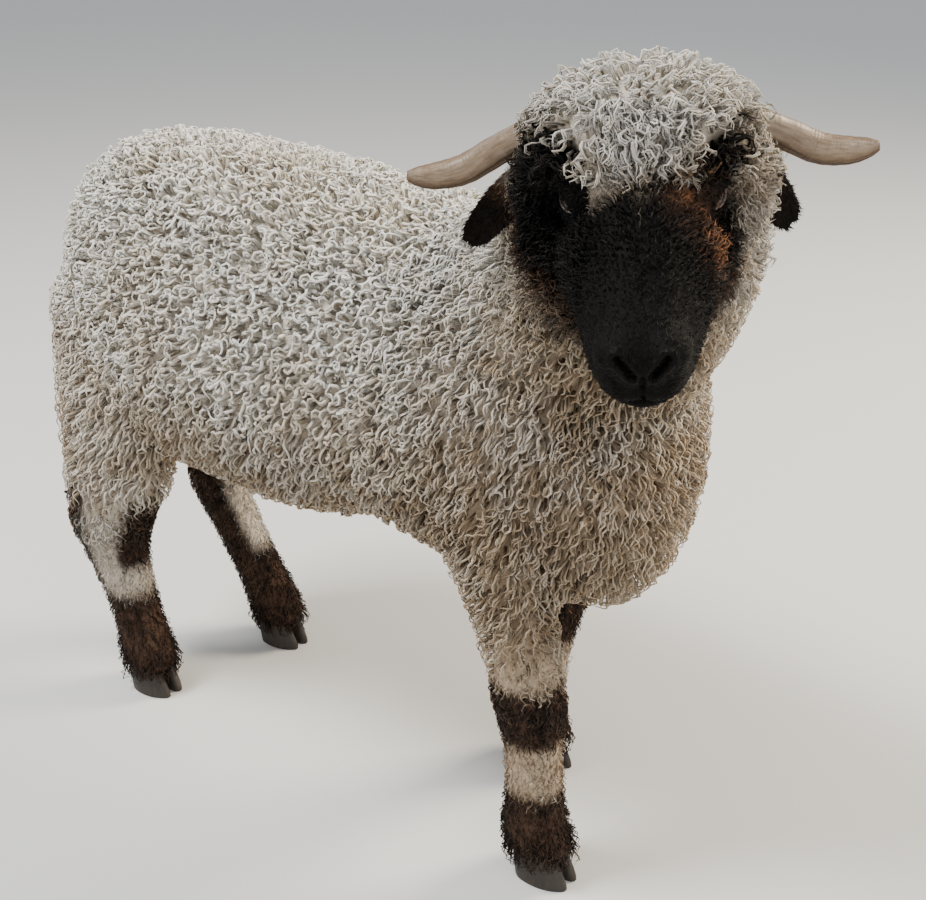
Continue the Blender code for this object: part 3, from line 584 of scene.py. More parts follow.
class Look:
    """A material's nodes, built one after another."""

    def __init__(self, name):
        self.material = bpy.data.materials.new(name)
        self.material.use_nodes = True
        self.tree = self.material.node_tree
        self.shader = self.tree.nodes["Principled BSDF"]

    def node(self, kind, inputs=None, **settings):
        """A new node with these inputs and settings."""
        node = self.tree.nodes.new(kind)
        for key, value in settings.items():
            setattr(node, key, value)
        for key, value in (inputs or {}).items():
            self.give(node.inputs[key], value)
        return node

    def give(self, socket, value):
        """Link a socket to another node, or set its value."""
        if isinstance(value, bpy.types.NodeSocket):
            self.tree.links.new(value, socket)
        else:
            socket.default_value = value

    def noise(self, scale, detail=4.0, where=None, rough=0.6):
        """Cloudy noise in the object's own measures, or over other places."""
        where = where or self.node("ShaderNodeTexCoord").outputs["Object"]
        values = {"Vector": where, "Scale": scale, "Detail": detail, "Roughness": rough}
        return self.node("ShaderNodeTexNoise", values).outputs["Fac"]

    def attribute(self, name, output="Fac"):
        """A value that the piece's points carry."""
        return self.node("ShaderNodeAttribute", attribute_name=name).outputs[output]

    def parts(self, name):
        """The three numbers of a point's attribute."""
        vector = self.attribute(name, "Vector")
        return self.node("ShaderNodeSeparateXYZ", {"Vector": vector}).outputs

    def maths(self, operation, first, second=0.0, third=0.0, clamp=False):
        """One sum with up to three values."""
        values = {0: first, 1: second, 2: third}
        return self.node("ShaderNodeMath", values, operation=operation, use_clamp=clamp).outputs[0]

    def spread(self, value, low, high, new_low=0.0, new_high=1.0):
        """A value from low to high, stretched softly to the new ends."""
        values = {
            "Value": value, "From Min": low, "From Max": high,
            "To Min": new_low, "To Max": new_high,
        }
        return self.node("ShaderNodeMapRange", values, interpolation_type="SMOOTHSTEP").outputs[0]

    def mix(self, share, first, second, how="MIX"):
        """Two colours mixed, all of the second at a share of 1."""
        node = self.node("ShaderNodeMix", {"Factor": share}, data_type="RGBA", blend_type=how)
        self.give(node.inputs[6], first)
        self.give(node.inputs[7], second)
        return node.outputs[2]

    def bump(self, height, distance, strength=1.0, under=None):
        """Relief from a height, over the relief that lies under it."""
        values = {"Height": height, "Distance": distance, "Strength": strength}
        if under is not None:
            values["Normal"] = under
        return self.node("ShaderNodeBump", values).outputs["Normal"]

    def settle(self, **inputs):
        """Set the shader's own inputs."""
        for key, value in inputs.items():
            self.give(self.shader.inputs[key.replace("_", " ")], value)
        return self.material

    def finish(self, piece, **inputs):
        """Set the shader's inputs and give the piece this material alone."""
        piece.data.materials.clear()
        piece.data.materials.append(self.settle(**inputs))


CREAM = (0.78, 0.748, 0.675, 1)
# Brown of soiled wool, used also as painted shade under the body
SOIL_AND_SHADE = (0.37, 0.272, 0.178, 1)
BLACK = (0.0034, 0.0029, 0.0027, 1)
BROWN = (0.090, 0.051, 0.033, 1)
RUST = (0.36, 0.150, 0.065, 1)
# Darkest brown of heavy dirt, used also as painted shade on the belly
MUD_AND_SHADE = (0.170, 0.108, 0.060, 1)
look = Look("skin under the coat")
black, brown, soil_and_shade = look.parts("marks")
grain = look.noise(420.0, 5.0)
patches = look.noise(38.0, 3.0)
# Brown from dirt together with painted shade under the body, and rust brown that on the left cheek
# is partly painted sunlight
pale = look.mix(soil_and_shade, (0.70, 0.66, 0.58, 1), SOIL_AND_SHADE)
pale = look.mix(look.spread(patches, 0.4, 0.7, 0.0, 0.5), pale, (0.52, 0.43, 0.31, 1))
rust = look.maths("MULTIPLY", brown, look.spread(patches, 0.35, 0.60, 0.35, 1.0))
dark = look.mix(look.spread(rust, 0.0, 0.6), BLACK, BROWN)
dark = look.mix(look.spread(rust, 0.43, 0.78), dark, RUST)
colour = look.mix(black, pale, dark)
darker = look.mix(1.0, colour, (0.45, 0.42, 0.4, 1), "MULTIPLY")
colour = look.mix(look.spread(grain, 0.3, 0.7, 0.0, 0.5), colour, darker)
moist = look.maths("MULTIPLY", look.attribute("wet"), 0.30)
rough = look.maths("SUBTRACT", look.spread(grain, 0.2, 0.8, 0.62, 0.8), moist, clamp=True)
fold = look.bump(look.noise(170.0, 3.0), 0.0020, 0.7)
look.finish(
    skin, Base_Color=colour, Roughness=rough, Normal=look.bump(grain, 0.0009, 0.8, fold),
    Specular_IOR_Level=0.06,
)
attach(skin, "root")
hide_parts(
    "torso", "hindquarters", "neck", "head",
    "foreleg_right", "foreleg_left", "hindleg_right", "hindleg_left",
)


# The tail is woolly to its tip and hangs against the buttocks. It is a round rope of flesh with a
# skin of its own, browned like the thighs by dirt together with painted shade.
bm = bmesh.new()
limb(bm, tail_rings)
tail = new_piece("tail_skin", bm)
points, normals = mesh_points(tail.data)
tail.data.vertices.foreach_set("co", (points - normals * 0.013).ravel())
remesh = tail.modifiers.new("melt", "REMESH")
remesh.mode = "VOXEL"
remesh.voxel_size = 0.004
finished(tail)
tail.data.shade_smooth()
unwrap(tail)
points, normals = mesh_points(tail.data)
paint_points(tail, "marks", "FLOAT_VECTOR", np.tile((0.0, 0.0, 0.5), (len(points), 1)))
tail.data.materials.append(skin.data.materials[0])
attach(tail, "root")
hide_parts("tail")


# The wool: flat locks of cream wool, 2 to 4 mm wide, rooted in the skin and as long as the fleece
# is deep. On the back they hook or roll up; lower down and in front they bend over and hang in
# waves. A shorter, thicker growth stands under them, and a second one between them on the chest.
chance = np.random.default_rng(7)
PATCH_HALF, PATCH_LONG = 0.0013, 0.003


def roots_on(piece, spacing, density, seed):
    """Places spread over a piece: point, normal and seat on its map."""
    draw = np.random.default_rng(seed)
    mesh = piece.data
    mesh.calc_loop_triangles()
    count = len(mesh.loop_triangles)
    corners = np.empty(count * 3, dtype=np.int32)
    mesh.loop_triangles.foreach_get("loops", corners)
    tips = np.empty(count * 3, dtype=np.int32)
    mesh.loop_triangles.foreach_get("vertices", tips)
    points, normals = mesh_points(mesh)
    flat = np.empty(len(mesh.loops) * 2, dtype=np.float32)
    mesh.uv_layers["OFBake"].uv.foreach_get("vector", flat)
    flat = flat.reshape(-1, 2)[corners].reshape(-1, 3, 2)
    corner = points[tips].reshape(-1, 3, 3)
    upright = normals[tips].reshape(-1, 3, 3)
    edges = np.cross(corner[:, 1] - corner[:, 0], corner[:, 2] - corner[:, 0])
    area = 0.5 * np.linalg.norm(edges, axis=1)
    area *= density(corner.mean(1), upright.mean(1))
    tries = int(area.sum() / spacing ** 2 * 7)
    picked = draw.choice(count, tries, p=area / area.sum())
    a, b = np.sqrt(draw.random(tries)), draw.random(tries)
    shares = np.stack((1 - a, a * (1 - b), a * b), axis=1)[:, :, None]
    point = (corner[picked] * shares).sum(1)
    normal = (upright[picked] * shares).sum(1)
    normal /= np.linalg.norm(normal, axis=1)[:, None]
    seat = (flat[picked] * shares).sum(1)
    cell = np.floor(point / spacing).astype(np.int64) + 4096
    axis = np.argmax(np.abs(normal), axis=1)
    face = axis * 2 + (np.take_along_axis(normal, axis[:, None], 1)[:, 0] > 0)
    key = ((cell[:, 0] * 8192 + cell[:, 1]) * 8192 + cell[:, 2]) * 6 + face
    first = np.unique(key, return_index=True)[1]
    keep = draw.permutation(first)
    return point[keep], normal[keep], seat[keep]


def combed(points, normals, swing, draw):
    """The lie of the coat at each root, a little out of order, and the direction across it."""
    lie = np.tile(np.array((-0.45, 0.0, -0.9)), (len(points), 1))
    body = in_body(points)
    lie[body[:, 2] < 0.30] = (0.0, 0.0, -1.0)
    head = in_head(points)
    share = head_share(points)[:, None]
    bare = eased(head[:, 0] / 0.03)[:, None]
    crown = eased((head[:, 2] - 0.01) / 0.04)[:, None]
    flat = np.zeros(len(points))
    side = np.stack((flat + 0.45, head[:, 1] * 14, flat - 0.5), axis=1)
    jowl = np.tile(np.array((-0.55, 0.0, -0.75)), (len(points), 1))
    on_face = np.stack((flat - 1, head[:, 1] * 6, flat - 0.1), axis=1)
    wool = jowl * (1 - crown) + side * crown
    local = wool * (1 - bare) + on_face * bare
    lie = lie * (1 - share) + (local @ HEAD_AXES.T) * share
    lie = lie - normals * (lie * normals).sum(1)[:, None]
    lie /= np.maximum(np.linalg.norm(lie, axis=1), 1e-6)[:, None]
    across = np.cross(normals, lie)
    turn = draw.normal(0.0, swing, len(points))[:, None]
    turned = lie * np.cos(turn) + across * np.sin(turn)
    return turned, across * np.cos(turn) - lie * np.sin(turn)


def strands(name, paths, radius, seats, marks, draw, material, facing=None):
    """One mesh of thin closed strands that end in points, or of flat locks that face outward."""
    count, steps = paths.shape[:2]
    rings = steps - 1
    ahead = np.gradient(paths, axis=1)
    ahead /= np.maximum(np.linalg.norm(ahead, axis=2), 1e-9)[:, :, None]
    wide, thin = (1.0, 1.0) if facing is None else (1.45, 0.80)
    side = np.cross(ahead[:, 0], draw.normal(size=(count, 3)))
    side = side / np.linalg.norm(side, axis=1)[:, None]
    sides = []
    for i in range(rings):
        if facing is not None:
            broad = np.cross(ahead[:, i], facing)
            side = side * 0.2 + broad * np.where((broad * side).sum(1) < 0, -1.0, 1.0)[:, None]
        side = side - ahead[:, i] * (side * ahead[:, i]).sum(1)[:, None]
        side = side / np.maximum(np.linalg.norm(side, axis=1), 1e-9)[:, None]
        sides.append(side)
    side = np.stack(sides, axis=1)
    other = np.cross(ahead[:, :rings], side)
    turns = np.arange(3) * math.tau / 3
    round_x, round_y = np.cos(turns)[None, None, :, None], np.sin(turns)[None, None, :, None]
    thick = radius[:, :, None, None]
    off = round_x * wide * side[:, :, None, :] + round_y * thin * other[:, :, None, :]
    ring = paths[:, :rings, None, :] + thick * off
    base = paths[:, :1] - ahead[:, :1] * radius[:, :1, None] * 0.3
    verts = np.concatenate((ring.reshape(count, rings * 3, 3), base, paths[:, -1:]), axis=1)
    size = rings * 3 + 2
    quads = [
        (i * 3 + j, i * 3 + (j + 1) % 3, (i + 1) * 3 + (j + 1) % 3, (i + 1) * 3 + j)
        for i in range(rings - 1) for j in range(3)
    ]
    last = (rings - 1) * 3
    tips = [((j + 1) % 3, j, rings * 3) for j in range(3)]
    tips += [(last + j, last + (j + 1) % 3, rings * 3 + 1) for j in range(3)]
    loops = np.array([i for face in quads + tips for i in face])
    sizes = np.array([4] * len(quads) + [3] * len(tips))
    starts = np.concatenate(([0], np.cumsum(sizes)[:-1]))
    loop_at = (loops[None] + np.arange(count)[:, None] * size).ravel()
    start_at = (starts[None] + np.arange(count)[:, None] * len(loops)).ravel()
    mesh = bpy.data.meshes.new(name)
    mesh.vertices.add(count * size)
    mesh.vertices.foreach_set("co", verts.ravel())
    mesh.loops.add(len(loop_at))
    mesh.loops.foreach_set("vertex_index", loop_at.astype(np.int32))
    mesh.polygons.add(len(start_at))
    mesh.polygons.foreach_set("loop_start", start_at.astype(np.int32))
    mesh.update(calc_edges=True)
    mesh.shade_smooth()
    piece = bpy.data.objects.new(name, mesh)
    bpy.context.scene.collection.objects.link(piece)
    along = np.repeat(np.arange(rings) / rings, 3)
    along = np.concatenate((along, (0.0, 1.0)))
    around = np.tile(np.stack((np.cos(turns), np.sin(turns)), axis=1), (rings, 1))
    around = np.concatenate((around, np.zeros((2, 2))))
    fibre = np.empty((count, size, 3))
    fibre[:, :, 0] = around[None, :, 0]
    fibre[:, :, 1] = around[None, :, 1]
    fibre[:, :, 2] = along[None] * 1.2 + draw.random((count, 1)) * 60
    paint_points(piece, "fibre", "FLOAT_VECTOR", fibre)
    paint_points(piece, "marks", "FLOAT_VECTOR", np.repeat(marks, size, axis=0))
    shade = np.empty((count, size, 3))
    shade[:, :, 0] = draw.random((count, 1))
    shade[:, :, 1] = along[None]
    shade[:, :, 2] = draw.random((count, 1))
    paint_points(piece, "shade", "FLOAT_VECTOR", shade)
    patch = np.empty((count, size, 2))
    patch[:, :, 0] = seats[:, None, 0] + around[None, :, 0] * PATCH_HALF
    patch[:, :, 1] = seats[:, None, 1] + (along[None] - 0.5) * PATCH_LONG
    layer = mesh.uv_layers.new(name="OFBake")
    layer.uv.foreach_set("vector", patch.reshape(-1, 2)[loop_at].astype(np.float32).ravel())
    mesh.materials.append(material)
    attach(piece, "root")
    return piece


def curled(points, normals, lie, across, rise, reach, loop, turns, roll, steps, draw):
    """Paths that rise from the skin and roll up: roll is 0 for flat hooks and 1 for ringlets."""
    s = np.array([0.0, 0.25, 0.42, *np.linspace(0.52, 1.0, steps - 3)])[None, :, None]
    rise, reach, loop, turns, roll = (
        np.asarray(v)[:, None, None] for v in (rise, reach, loop, turns, roll))
    up = normals[:, None]
    height = rise * np.sin(np.minimum(1, s / 0.5) * math.pi / 2)
    height = height - 0.12 * rise * eased((s - 0.6) / 0.4)
    phase = draw.random((len(points), 1, 1)) * math.tau
    spin = np.where(draw.random((len(points), 1, 1)) < 0.5, -1.0, 1.0)
    angle = phase + spin * turns * math.tau * eased((s - 0.12) / 0.88) ** 0.9
    width = loop * eased(s / 0.42)
    second = lie[:, None] * np.cos(roll * math.pi / 2) + up * np.sin(roll * math.pi / 2)
    swirl = width * (np.cos(angle) * across[:, None] + np.sin(angle) * second)
    return points[:, None] - up * 0.002 + up * height + lie[:, None] * reach * s + swirl


def hanging(points, normals, lie, across, rise, reach, swing, waves, steps, draw):
    """Paths of locks that rise, bend over and hang in waves."""
    s = np.array([0.0, 0.18, 0.32, *np.linspace(0.43, 1.0, steps - 3)])[None, :, None]
    rise, reach, swing, waves = (np.asarray(v)[:, None, None] for v in (rise, reach, swing, waves))
    up = normals[:, None]
    phase = draw.random((len(points), 1, 1)) * math.tau + waves * math.tau * s
    height = rise * np.sin(np.minimum(1, s / 0.45) * math.pi / 2)
    height = height * (1 - 0.25 * eased((s - 0.5) / 0.5))
    wave = swing * eased(s / 0.4)
    return (
        points[:, None] - up * 0.002 + up * (height + 0.5 * wave * np.cos(phase))
        + lie[:, None] * reach * s ** 1.2 + across[:, None] * wave * np.sin(phase)
    )


def wool_look(name, shine, soft, rough):
    """Fine fibres along each strand, cream, soiled, brown or black by the markings, with painted
    shade under the body and at the roots and painted sunlight on the left cheek.
    """
    look = Look(name)
    black, brown, soil_and_shade = look.parts("marks")
    tone, along, tint = look.parts("shade")
    fibre = look.attribute("fibre", "Vector")
    streak = look.noise(2.6, 4.0, fibre, 0.65)
    patches = look.noise(26.0, 3.0)
    cloud = look.noise(7.0, 2.0)
    blot = look.spread(patches, 0.35, 0.7, -0.18, 0.25)
    # Soil value, blots and tint: dirt together with painted shade under the body, darkest on the
    # belly
    stain_and_shade = look.maths("MULTIPLY_ADD", blot, 1.0, soil_and_shade, clamp=True)
    stain_and_shade = look.maths("ADD", stain_and_shade, look.maths("MULTIPLY_ADD", tint, 0.20, -0.10))
    pale = look.mix(look.maths("MULTIPLY", stain_and_shade, 1.0, clamp=True), CREAM, SOIL_AND_SHADE)
    pale = look.mix(look.spread(stain_and_shade, 0.85, 1.25, 0.0, 0.7), pale, MUD_AND_SHADE)
    pale = look.mix(look.spread(cloud, 0.46, 0.66, 0.0, 0.36), pale, (0.47, 0.36, 0.24, 1))
    # Rust brown, on the left cheek partly painted sunlight
    rust = look.maths("MULTIPLY", brown, look.spread(patches, 0.32, 0.6, 0.45, 1.15), clamp=True)
    rust = look.maths("MULTIPLY", rust, look.spread(along, 0.2, 1.0, 0.55, 1.2))
    rust = look.maths("MULTIPLY_ADD", look.maths("MULTIPLY", along, tint), 0.10, rust, clamp=True)
    dark = look.mix(look.spread(rust, 0.0, 0.6), BLACK, BROWN)
    dark = look.mix(look.spread(rust, 0.43, 0.78), dark, RUST)
    colour = look.mix(black, pale, dark)
    # Painted shade: each strand a little darker towards its root, as the fleece shades it
    root = look.spread(along, 0.0, 0.50, 0.90, 1.02)
    level = look.maths("MULTIPLY", root, look.spread(streak, 0.34, 0.66, 0.64, 1.12))
    level = look.maths("MULTIPLY", level, look.maths("MULTIPLY_ADD", tone, 0.22, 0.86))
    grey = look.node("ShaderNodeCombineXYZ", {0: level, 1: level, 2: level}).outputs[0]
    colour = look.mix(1.0, colour, grey, "MULTIPLY")
    return look.settle(
        Base_Color=colour, Roughness=look.spread(streak, 0.2, 0.8, rough, rough + 0.25),
        Normal=look.bump(streak, 0.0014, 0.8), Specular_IOR_Level=shine,
        Subsurface_Weight=soft, Subsurface_Radius=(1.0, 0.85, 0.65), Subsurface_Scale=0.005,
    )


wool = wool_look("cream wool", 0.12, 0.40, 0.55)
hair = wool_look("short hair", 0.11, 0.0, 0.32)


def in_pieces(name, paths, radius, seats, marks, draw, material, parts, facing=None):
    """Share the strands out over several meshes, from the front of the animal to its rear."""
    order = np.argsort(-paths[:, 0, 0])
    for i, part in enumerate(np.array_split(order, parts)):
        strands(
            f"{name}_{i + 1}", paths[part], radius[part], seats[part], marks[part], draw,
            material, None if facing is None else facing[part])


def jittered_marks(points, normals, spread, draw):
    """Markings with a broken edge, as neighbouring curls differ."""
    moved = points + draw.normal(0.0, spread, points.shape)
    return np.clip(markings(moved, normals), 0, 1)


def body_wool(points, normals):
    """Where the body's wool grows."""
    height = in_body(points)[:, 2]
    return (1 - head_share(points)) * (height > 0.215) * 1.0


def chest_wool(points, normals):
    """Where a second growth of finer wool stands between the first: chest, neck and shoulders."""
    x, y, z = in_body(points).T
    return body_wool(points, normals) * (x > 0.16) * (z > 0.24) * (z < 0.66)


def everywhere(points, normals):
    """The whole of a piece."""
    return np.ones(len(points))


grown = []
for name, seed, spacing, where in (
    ("wool", 21, 0.0104, body_wool), ("under_wool", 23, 0.0122, body_wool),
    ("chest_wool", 25, 0.0104, chest_wool),
):
    grown.append((name, *roots_on(skin, spacing, where, seed)))
    if where is body_wool:
        grown.append(("tail_" + name, *roots_on(tail, spacing, everywhere, seed + 1)))
for name, points, normals, seats in grown:
    count = len(points)
    under, on_tail = "under" in name, "tail" in name
    bx, by, height = in_body(points).T
    share = head_share(points)
    depth = WOOL_ROOT * wool_depth(points + normals * 0.01) + 0.0015
    depth = depth * (1 + 1.2 * share * (1 - share))
    if on_tail:
        depth = np.full(count, 0.013)
    front = eased((bx - 0.10) / 0.16)
    lower_leg = 1 - eased((height - 0.25) / 0.07)
    hang = np.maximum(eased((0.53 - height) / 0.13), 0.80 * front) * (1 - 0.5 * lower_leg)
    lie, across = combed(points, normals, 0.60 - 0.38 * hang, chance)
    hangs = chance.random(count) < hang
    ringlet = chance.random(count) < 0.3
    level = chance.uniform(0.50, 0.85, count) if under else chance.uniform(0.82, 1.05, count)
    rise = np.maximum(depth * level, 0.006)
    loop = chance.uniform(0.0034, 0.0058, count) * np.where(ringlet, 0.65, 1.0)
    loop = loop * (1 - 0.30 * lower_leg) * (1 - 0.30 * front)
    turns = chance.uniform(0.65, 1.10, count) * np.where(ringlet, 1.25, 1.0)
    far, near = chance.uniform(0.010, 0.018, count), chance.uniform(0.003, 0.010, count)
    reach = np.where(ringlet, far, near)
    roll = np.where(ringlet, chance.uniform(0.5, 1.0, count), chance.uniform(0.0, 0.3, count))
    steps = 5 if under else 8
    hooks = curled(points, normals, lie, across, rise, reach, loop, turns, roll, steps, chance)
    long = chance.uniform(0.024, 0.040, count) * (1 - 0.45 * lower_leg) * (1 - 0.25 * front)
    swing = chance.uniform(0.0014, 0.0030, count) * (1 - 0.20 * front)
    waves = chance.uniform(1.1, 2.0, count)
    locks = hanging(points, normals, lie, across, rise, long, swing, waves, steps, chance)
    paths = np.where(hangs[:, None, None], locks, hooks)
    along = np.linspace(0, 1, steps - 1)
    thick = np.interp(along, (0, 0.3, 0.7, 1), (1.75, 1.60, 1.25, 0.6)) * 0.001
    if under:
        thick = thick * 1.45
    width = chance.uniform(0.70, 1.15, count) * (1 - 0.25 * lower_leg) * (1 - 0.30 * front)
    width = width * np.where(hangs, 0.84, 1.0)
    marks = jittered_marks(points, normals, 0.004, chance)
    parts = 1 + count * (steps * 6 - 6) // 170000
    in_pieces(
        name, paths, thick[None] * width[:, None], seats, marks, chance, wool, parts,
        normals)


# Head wool: fine loose curls of wool on the crown and short ones on the cheeks, rooted in the skin,
# each of three hairs that part company towards their tips.
def head_wool(points, normals):
    """Where the head's wool grows."""
    return head_share(points) * (wool_depth(points) > 0.003)


def in_threes(name, middle, near, far, sizes, seats, marks, draw):
    """Three hairs along each path, which stray this far from it near the root and at the tip."""
    count = len(middle)
    s = np.linspace(0, 1, 7)[None, :, None]
    thick = np.array([1.25, 1.10, 0.95, 0.82, 0.70, 0.50]) * 0.001
    for part in (1, 2, 3):
        off = draw.normal(0, near, (count, 1, 3)) * s ** 0.6
        off = off + draw.normal(0, far, (count, 1, 3)) * s ** 2
        radius = thick[None] * draw.uniform(*sizes, count)[:, None]
        in_pieces(f"{name}_{part}", middle + off, radius, seats, marks, draw, wool, 1)


points, normals, seats = roots_on(skin, 0.0065, head_wool, 31)
lie, across = combed(points, normals, 0.6, chance)
count = len(points)
local = in_head(points)
crown = eased(local[:, 2] / 0.04)
share = head_share(points)
depth = WOOL_ROOT * wool_depth(points + normals * 0.006) + 0.0015
depth = depth * (1 + 1.2 * share * (1 - share))
rise = np.maximum(depth * chance.uniform(0.55, 1.15, count), 0.005)
ringlet = chance.random(count) < 0.5
loop = chance.uniform(0.0022, 0.0046, count) * np.where(ringlet, 0.75, 1.0) + 0.0008 * crown
turns = np.where(ringlet, chance.uniform(0.9, 1.4, count), chance.uniform(0.5, 1.0, count))
far, near = chance.uniform(0.008, 0.018, count), chance.uniform(0.003, 0.010, count)
reach = np.where(ringlet, far, near) + 0.003 * crown
roll = np.where(ringlet, chance.uniform(0.5, 1.0, count), chance.uniform(0.0, 0.6, count))
marks = jittered_marks(points, normals, 0.0035, chance)
middle = curled(points, normals, lie, across, rise, reach, loop, turns, roll, 7, chance)
in_threes("head_wool", middle, 0.0013, 0.0016, (0.6, 1.05), seats, marks, chance)


# Forelock: longer locks of the crown's wool that fall over the forehead between the eyes. They are
# rooted in a patch of skin in front of the horns, and are longer on the animal's right.
def forelock(points, normals):
    """Where the forelock's locks are rooted."""
    x, y, z = in_head(points).T
    patch = (y > -0.031) * (y < 0.036) * (x > -0.030) * (x < 0.006) * (z > 0.008)
    return head_share(points) * patch * (normals @ HEAD_AXES[:, 2] > 0.2)


points, normals, seats = roots_on(skin, 0.0056, forelock, 35)
count = len(points)
local = in_head(points)
fall = np.stack((np.ones(count), local[:, 1] * 6, np.full(count, -0.2)), axis=1)
fall = fall + chance.normal(0, 0.32, (count, 3))
lie = fall @ HEAD_AXES.T
lie -= normals * (lie * normals).sum(1)[:, None]
lie /= np.linalg.norm(lie, axis=1)[:, None]
across = np.cross(normals, lie)
reach = chance.uniform(0.016, 0.030, count) * np.where(local[:, 1] < -0.004, 1.1, 0.75)
marks = jittered_marks(points - lie * 0.006, normals, 0.003, chance)
marks[:, 0] *= 0.4
middle = hanging(
    points, normals, lie, across, chance.uniform(0.006, 0.015, count), reach,
    chance.uniform(0.0014, 0.0030, count), chance.uniform(0.9, 1.8, count), 7, chance)
in_threes("forelock", middle, 0.0011, 0.0018, (0.6, 1.0), seats, marks, chance)


# Face: short frizzy black wool from the crown down to the nose, then flat hair on muzzle, lips and
# lids. It is rooted in the skin and shorter round the eyes, and leaves nostrils and mouth bare.
def face_hair(points, normals):
    """Where short hair grows on the face, outside eyes, nostrils and mouth."""
    local = in_head(points)
    bare = head_share(points) * (wool_depth(points) < 0.018) * (local[:, 0] > -0.07)
    for side in (1, -1):
        mirrored = local * (1, side, 1)
        bare = bare * (distance_to_line(mirrored, nostril_line) > 0.0040)
        bare = bare * (distance_to_line(mirrored, mouth_line) > 0.0022)
        off_eye = np.linalg.norm(local - np.array(eye_seat[side]), axis=1)
        bare = bare * (off_eye > EYE_RADIUS + 0.0012)
    return bare


def frizzy_face(points, normals):
    """Where the face's hair stands up and curls."""
    return face_hair(points, normals) * (in_head(points)[:, 0] < 0.128)


def sleek_face(points, normals):
    """Where the face's hair lies flat."""
    return face_hair(points, normals) * (in_head(points)[:, 0] > 0.100)


points, normals, seats = roots_on(skin, 0.0031, frizzy_face, 41)
lie, across = combed(points, normals, 0.6, chance)
count = len(points)
local = in_head(points)
near_eye = np.minimum(
    np.linalg.norm(local - np.array(eye_seat[1]), axis=1),
    np.linalg.norm(local - np.array(eye_seat[-1]), axis=1))
small = 0.35 + 0.65 * eased((near_eye - 0.017) / 0.02)
small = small * (1 - 0.52 * eased((local[:, 0] - 0.06) / 0.06))
shaggy = 0.9 * eased((np.abs(local[:, 1]) - 0.030) / 0.015)
shaggy = 1 + shaggy * eased((0.075 - local[:, 0]) / 0.03)
size = small * shaggy
rise = chance.uniform(0.0030, 0.0075, count) * size
paths = curled(
    points, normals, lie, across, rise, chance.uniform(0.003, 0.008, count) * size,
    chance.uniform(0.0010, 0.0022, count) * size, chance.uniform(0.3, 0.9, count),
    chance.uniform(0.2, 1, count), 5, chance)
width = (chance.uniform(0.7, 1.1, count) * np.sqrt(size))[:, None]
radius = np.array([0.70, 0.60, 0.52, 0.40])[None] * 0.001 * width
marks = jittered_marks(points, normals, 0.002, chance)
in_pieces("face_wool", paths, radius, seats, marks, chance, hair, 2)


def flat_hair(points, normals, lie, length, lift, draw):
    """Straight tufts that lie back along the skin."""
    s = np.array([0.0, 0.5, 1.0])[None, :, None]
    length, lift = np.asarray(length)[:, None, None], np.asarray(lift)[:, None, None]
    bend = draw.normal(0, 0.12, (len(points), 1, 1))
    across = np.cross(normals, lie)[:, None]
    return (
        points[:, None] - normals[:, None] * 0.0006 + lie[:, None] * length * s
        + normals[:, None] * length * lift * s * (1.25 - 0.5 * s) + across * bend * length * s ** 2
    )


points, normals, seats = roots_on(skin, 0.0022, sleek_face, 51)
lie, across = combed(points, normals, 0.2, chance)
count = len(points)
long, lift = chance.uniform(0.0035, 0.006, count), chance.uniform(0.15, 0.4, count)
paths = flat_hair(points, normals, lie, long, lift, chance)
radius = np.array([0.42, 0.34])[None] * 0.001 * chance.uniform(0.7, 1.1, count)[:, None]
marks = jittered_marks(points, normals, 0.002, chance)
in_pieces("muzzle_hair", paths, radius, seats, marks, chance, hair, 1)


# Lower legs: shaggy hair rooted in the skin, which hangs down over knees, hocks and fetlocks. At
# the foot it is longest and falls over the top of the hooves.
def leg_hair(points, normals):
    """Where the legs carry hair instead of wool."""
    height = in_body(points)[:, 2]
    return (height < 0.245) * (height > 0.026) * 1.0


points, normals, seats = roots_on(skin, 0.0047, leg_hair, 61)
lie, across = combed(points, normals, 0.35, chance)
count = len(points)
height = in_body(points)[:, 2]
s = np.array([0.0, 0.5, 1.0])[None, :, None]
length = chance.uniform(0.010, 0.017, count) * (0.75 + 0.85 * hill(height - 0.032, 0.026))
length = length[:, None, None]
lift = chance.uniform(0.15, 0.55, count)[:, None, None]
bend = chance.normal(0, 0.28, (count, 1, 1))
paths = (
    points[:, None] - normals[:, None] * 0.0008 + lie[:, None] * length * s
    + normals[:, None] * length * lift * np.sin(s * 2.6)
    + across[:, None] * bend * length * np.sin(s * 3.6)
)
radius = np.array([0.80, 0.62])[None] * 0.001 * chance.uniform(0.7, 1.15, count)[:, None]
marks = jittered_marks(points, normals, 0.004, chance)
in_pieces("leg_hair", paths, radius, seats, marks, chance, hair, 2)


# Ears: drooping leaves of thin skin over gristle, cupped in front, with black hair that lies
# towards the tip and a brown root. Each is two sheets joined at the edge, set in behind the cheek.
EAR_LONG, EAR_HALF = 0.088, 0.0145


def ear_marks(t):
    """Black towards the tip and brown near the root, by the share of the ear's length."""
    brown = 0.55 * hill(t - 0.25, 0.22) + 0.1
    return np.stack((eased((t - 0.08) / 0.35), brown, 0.45 + 0 * t), axis=1)


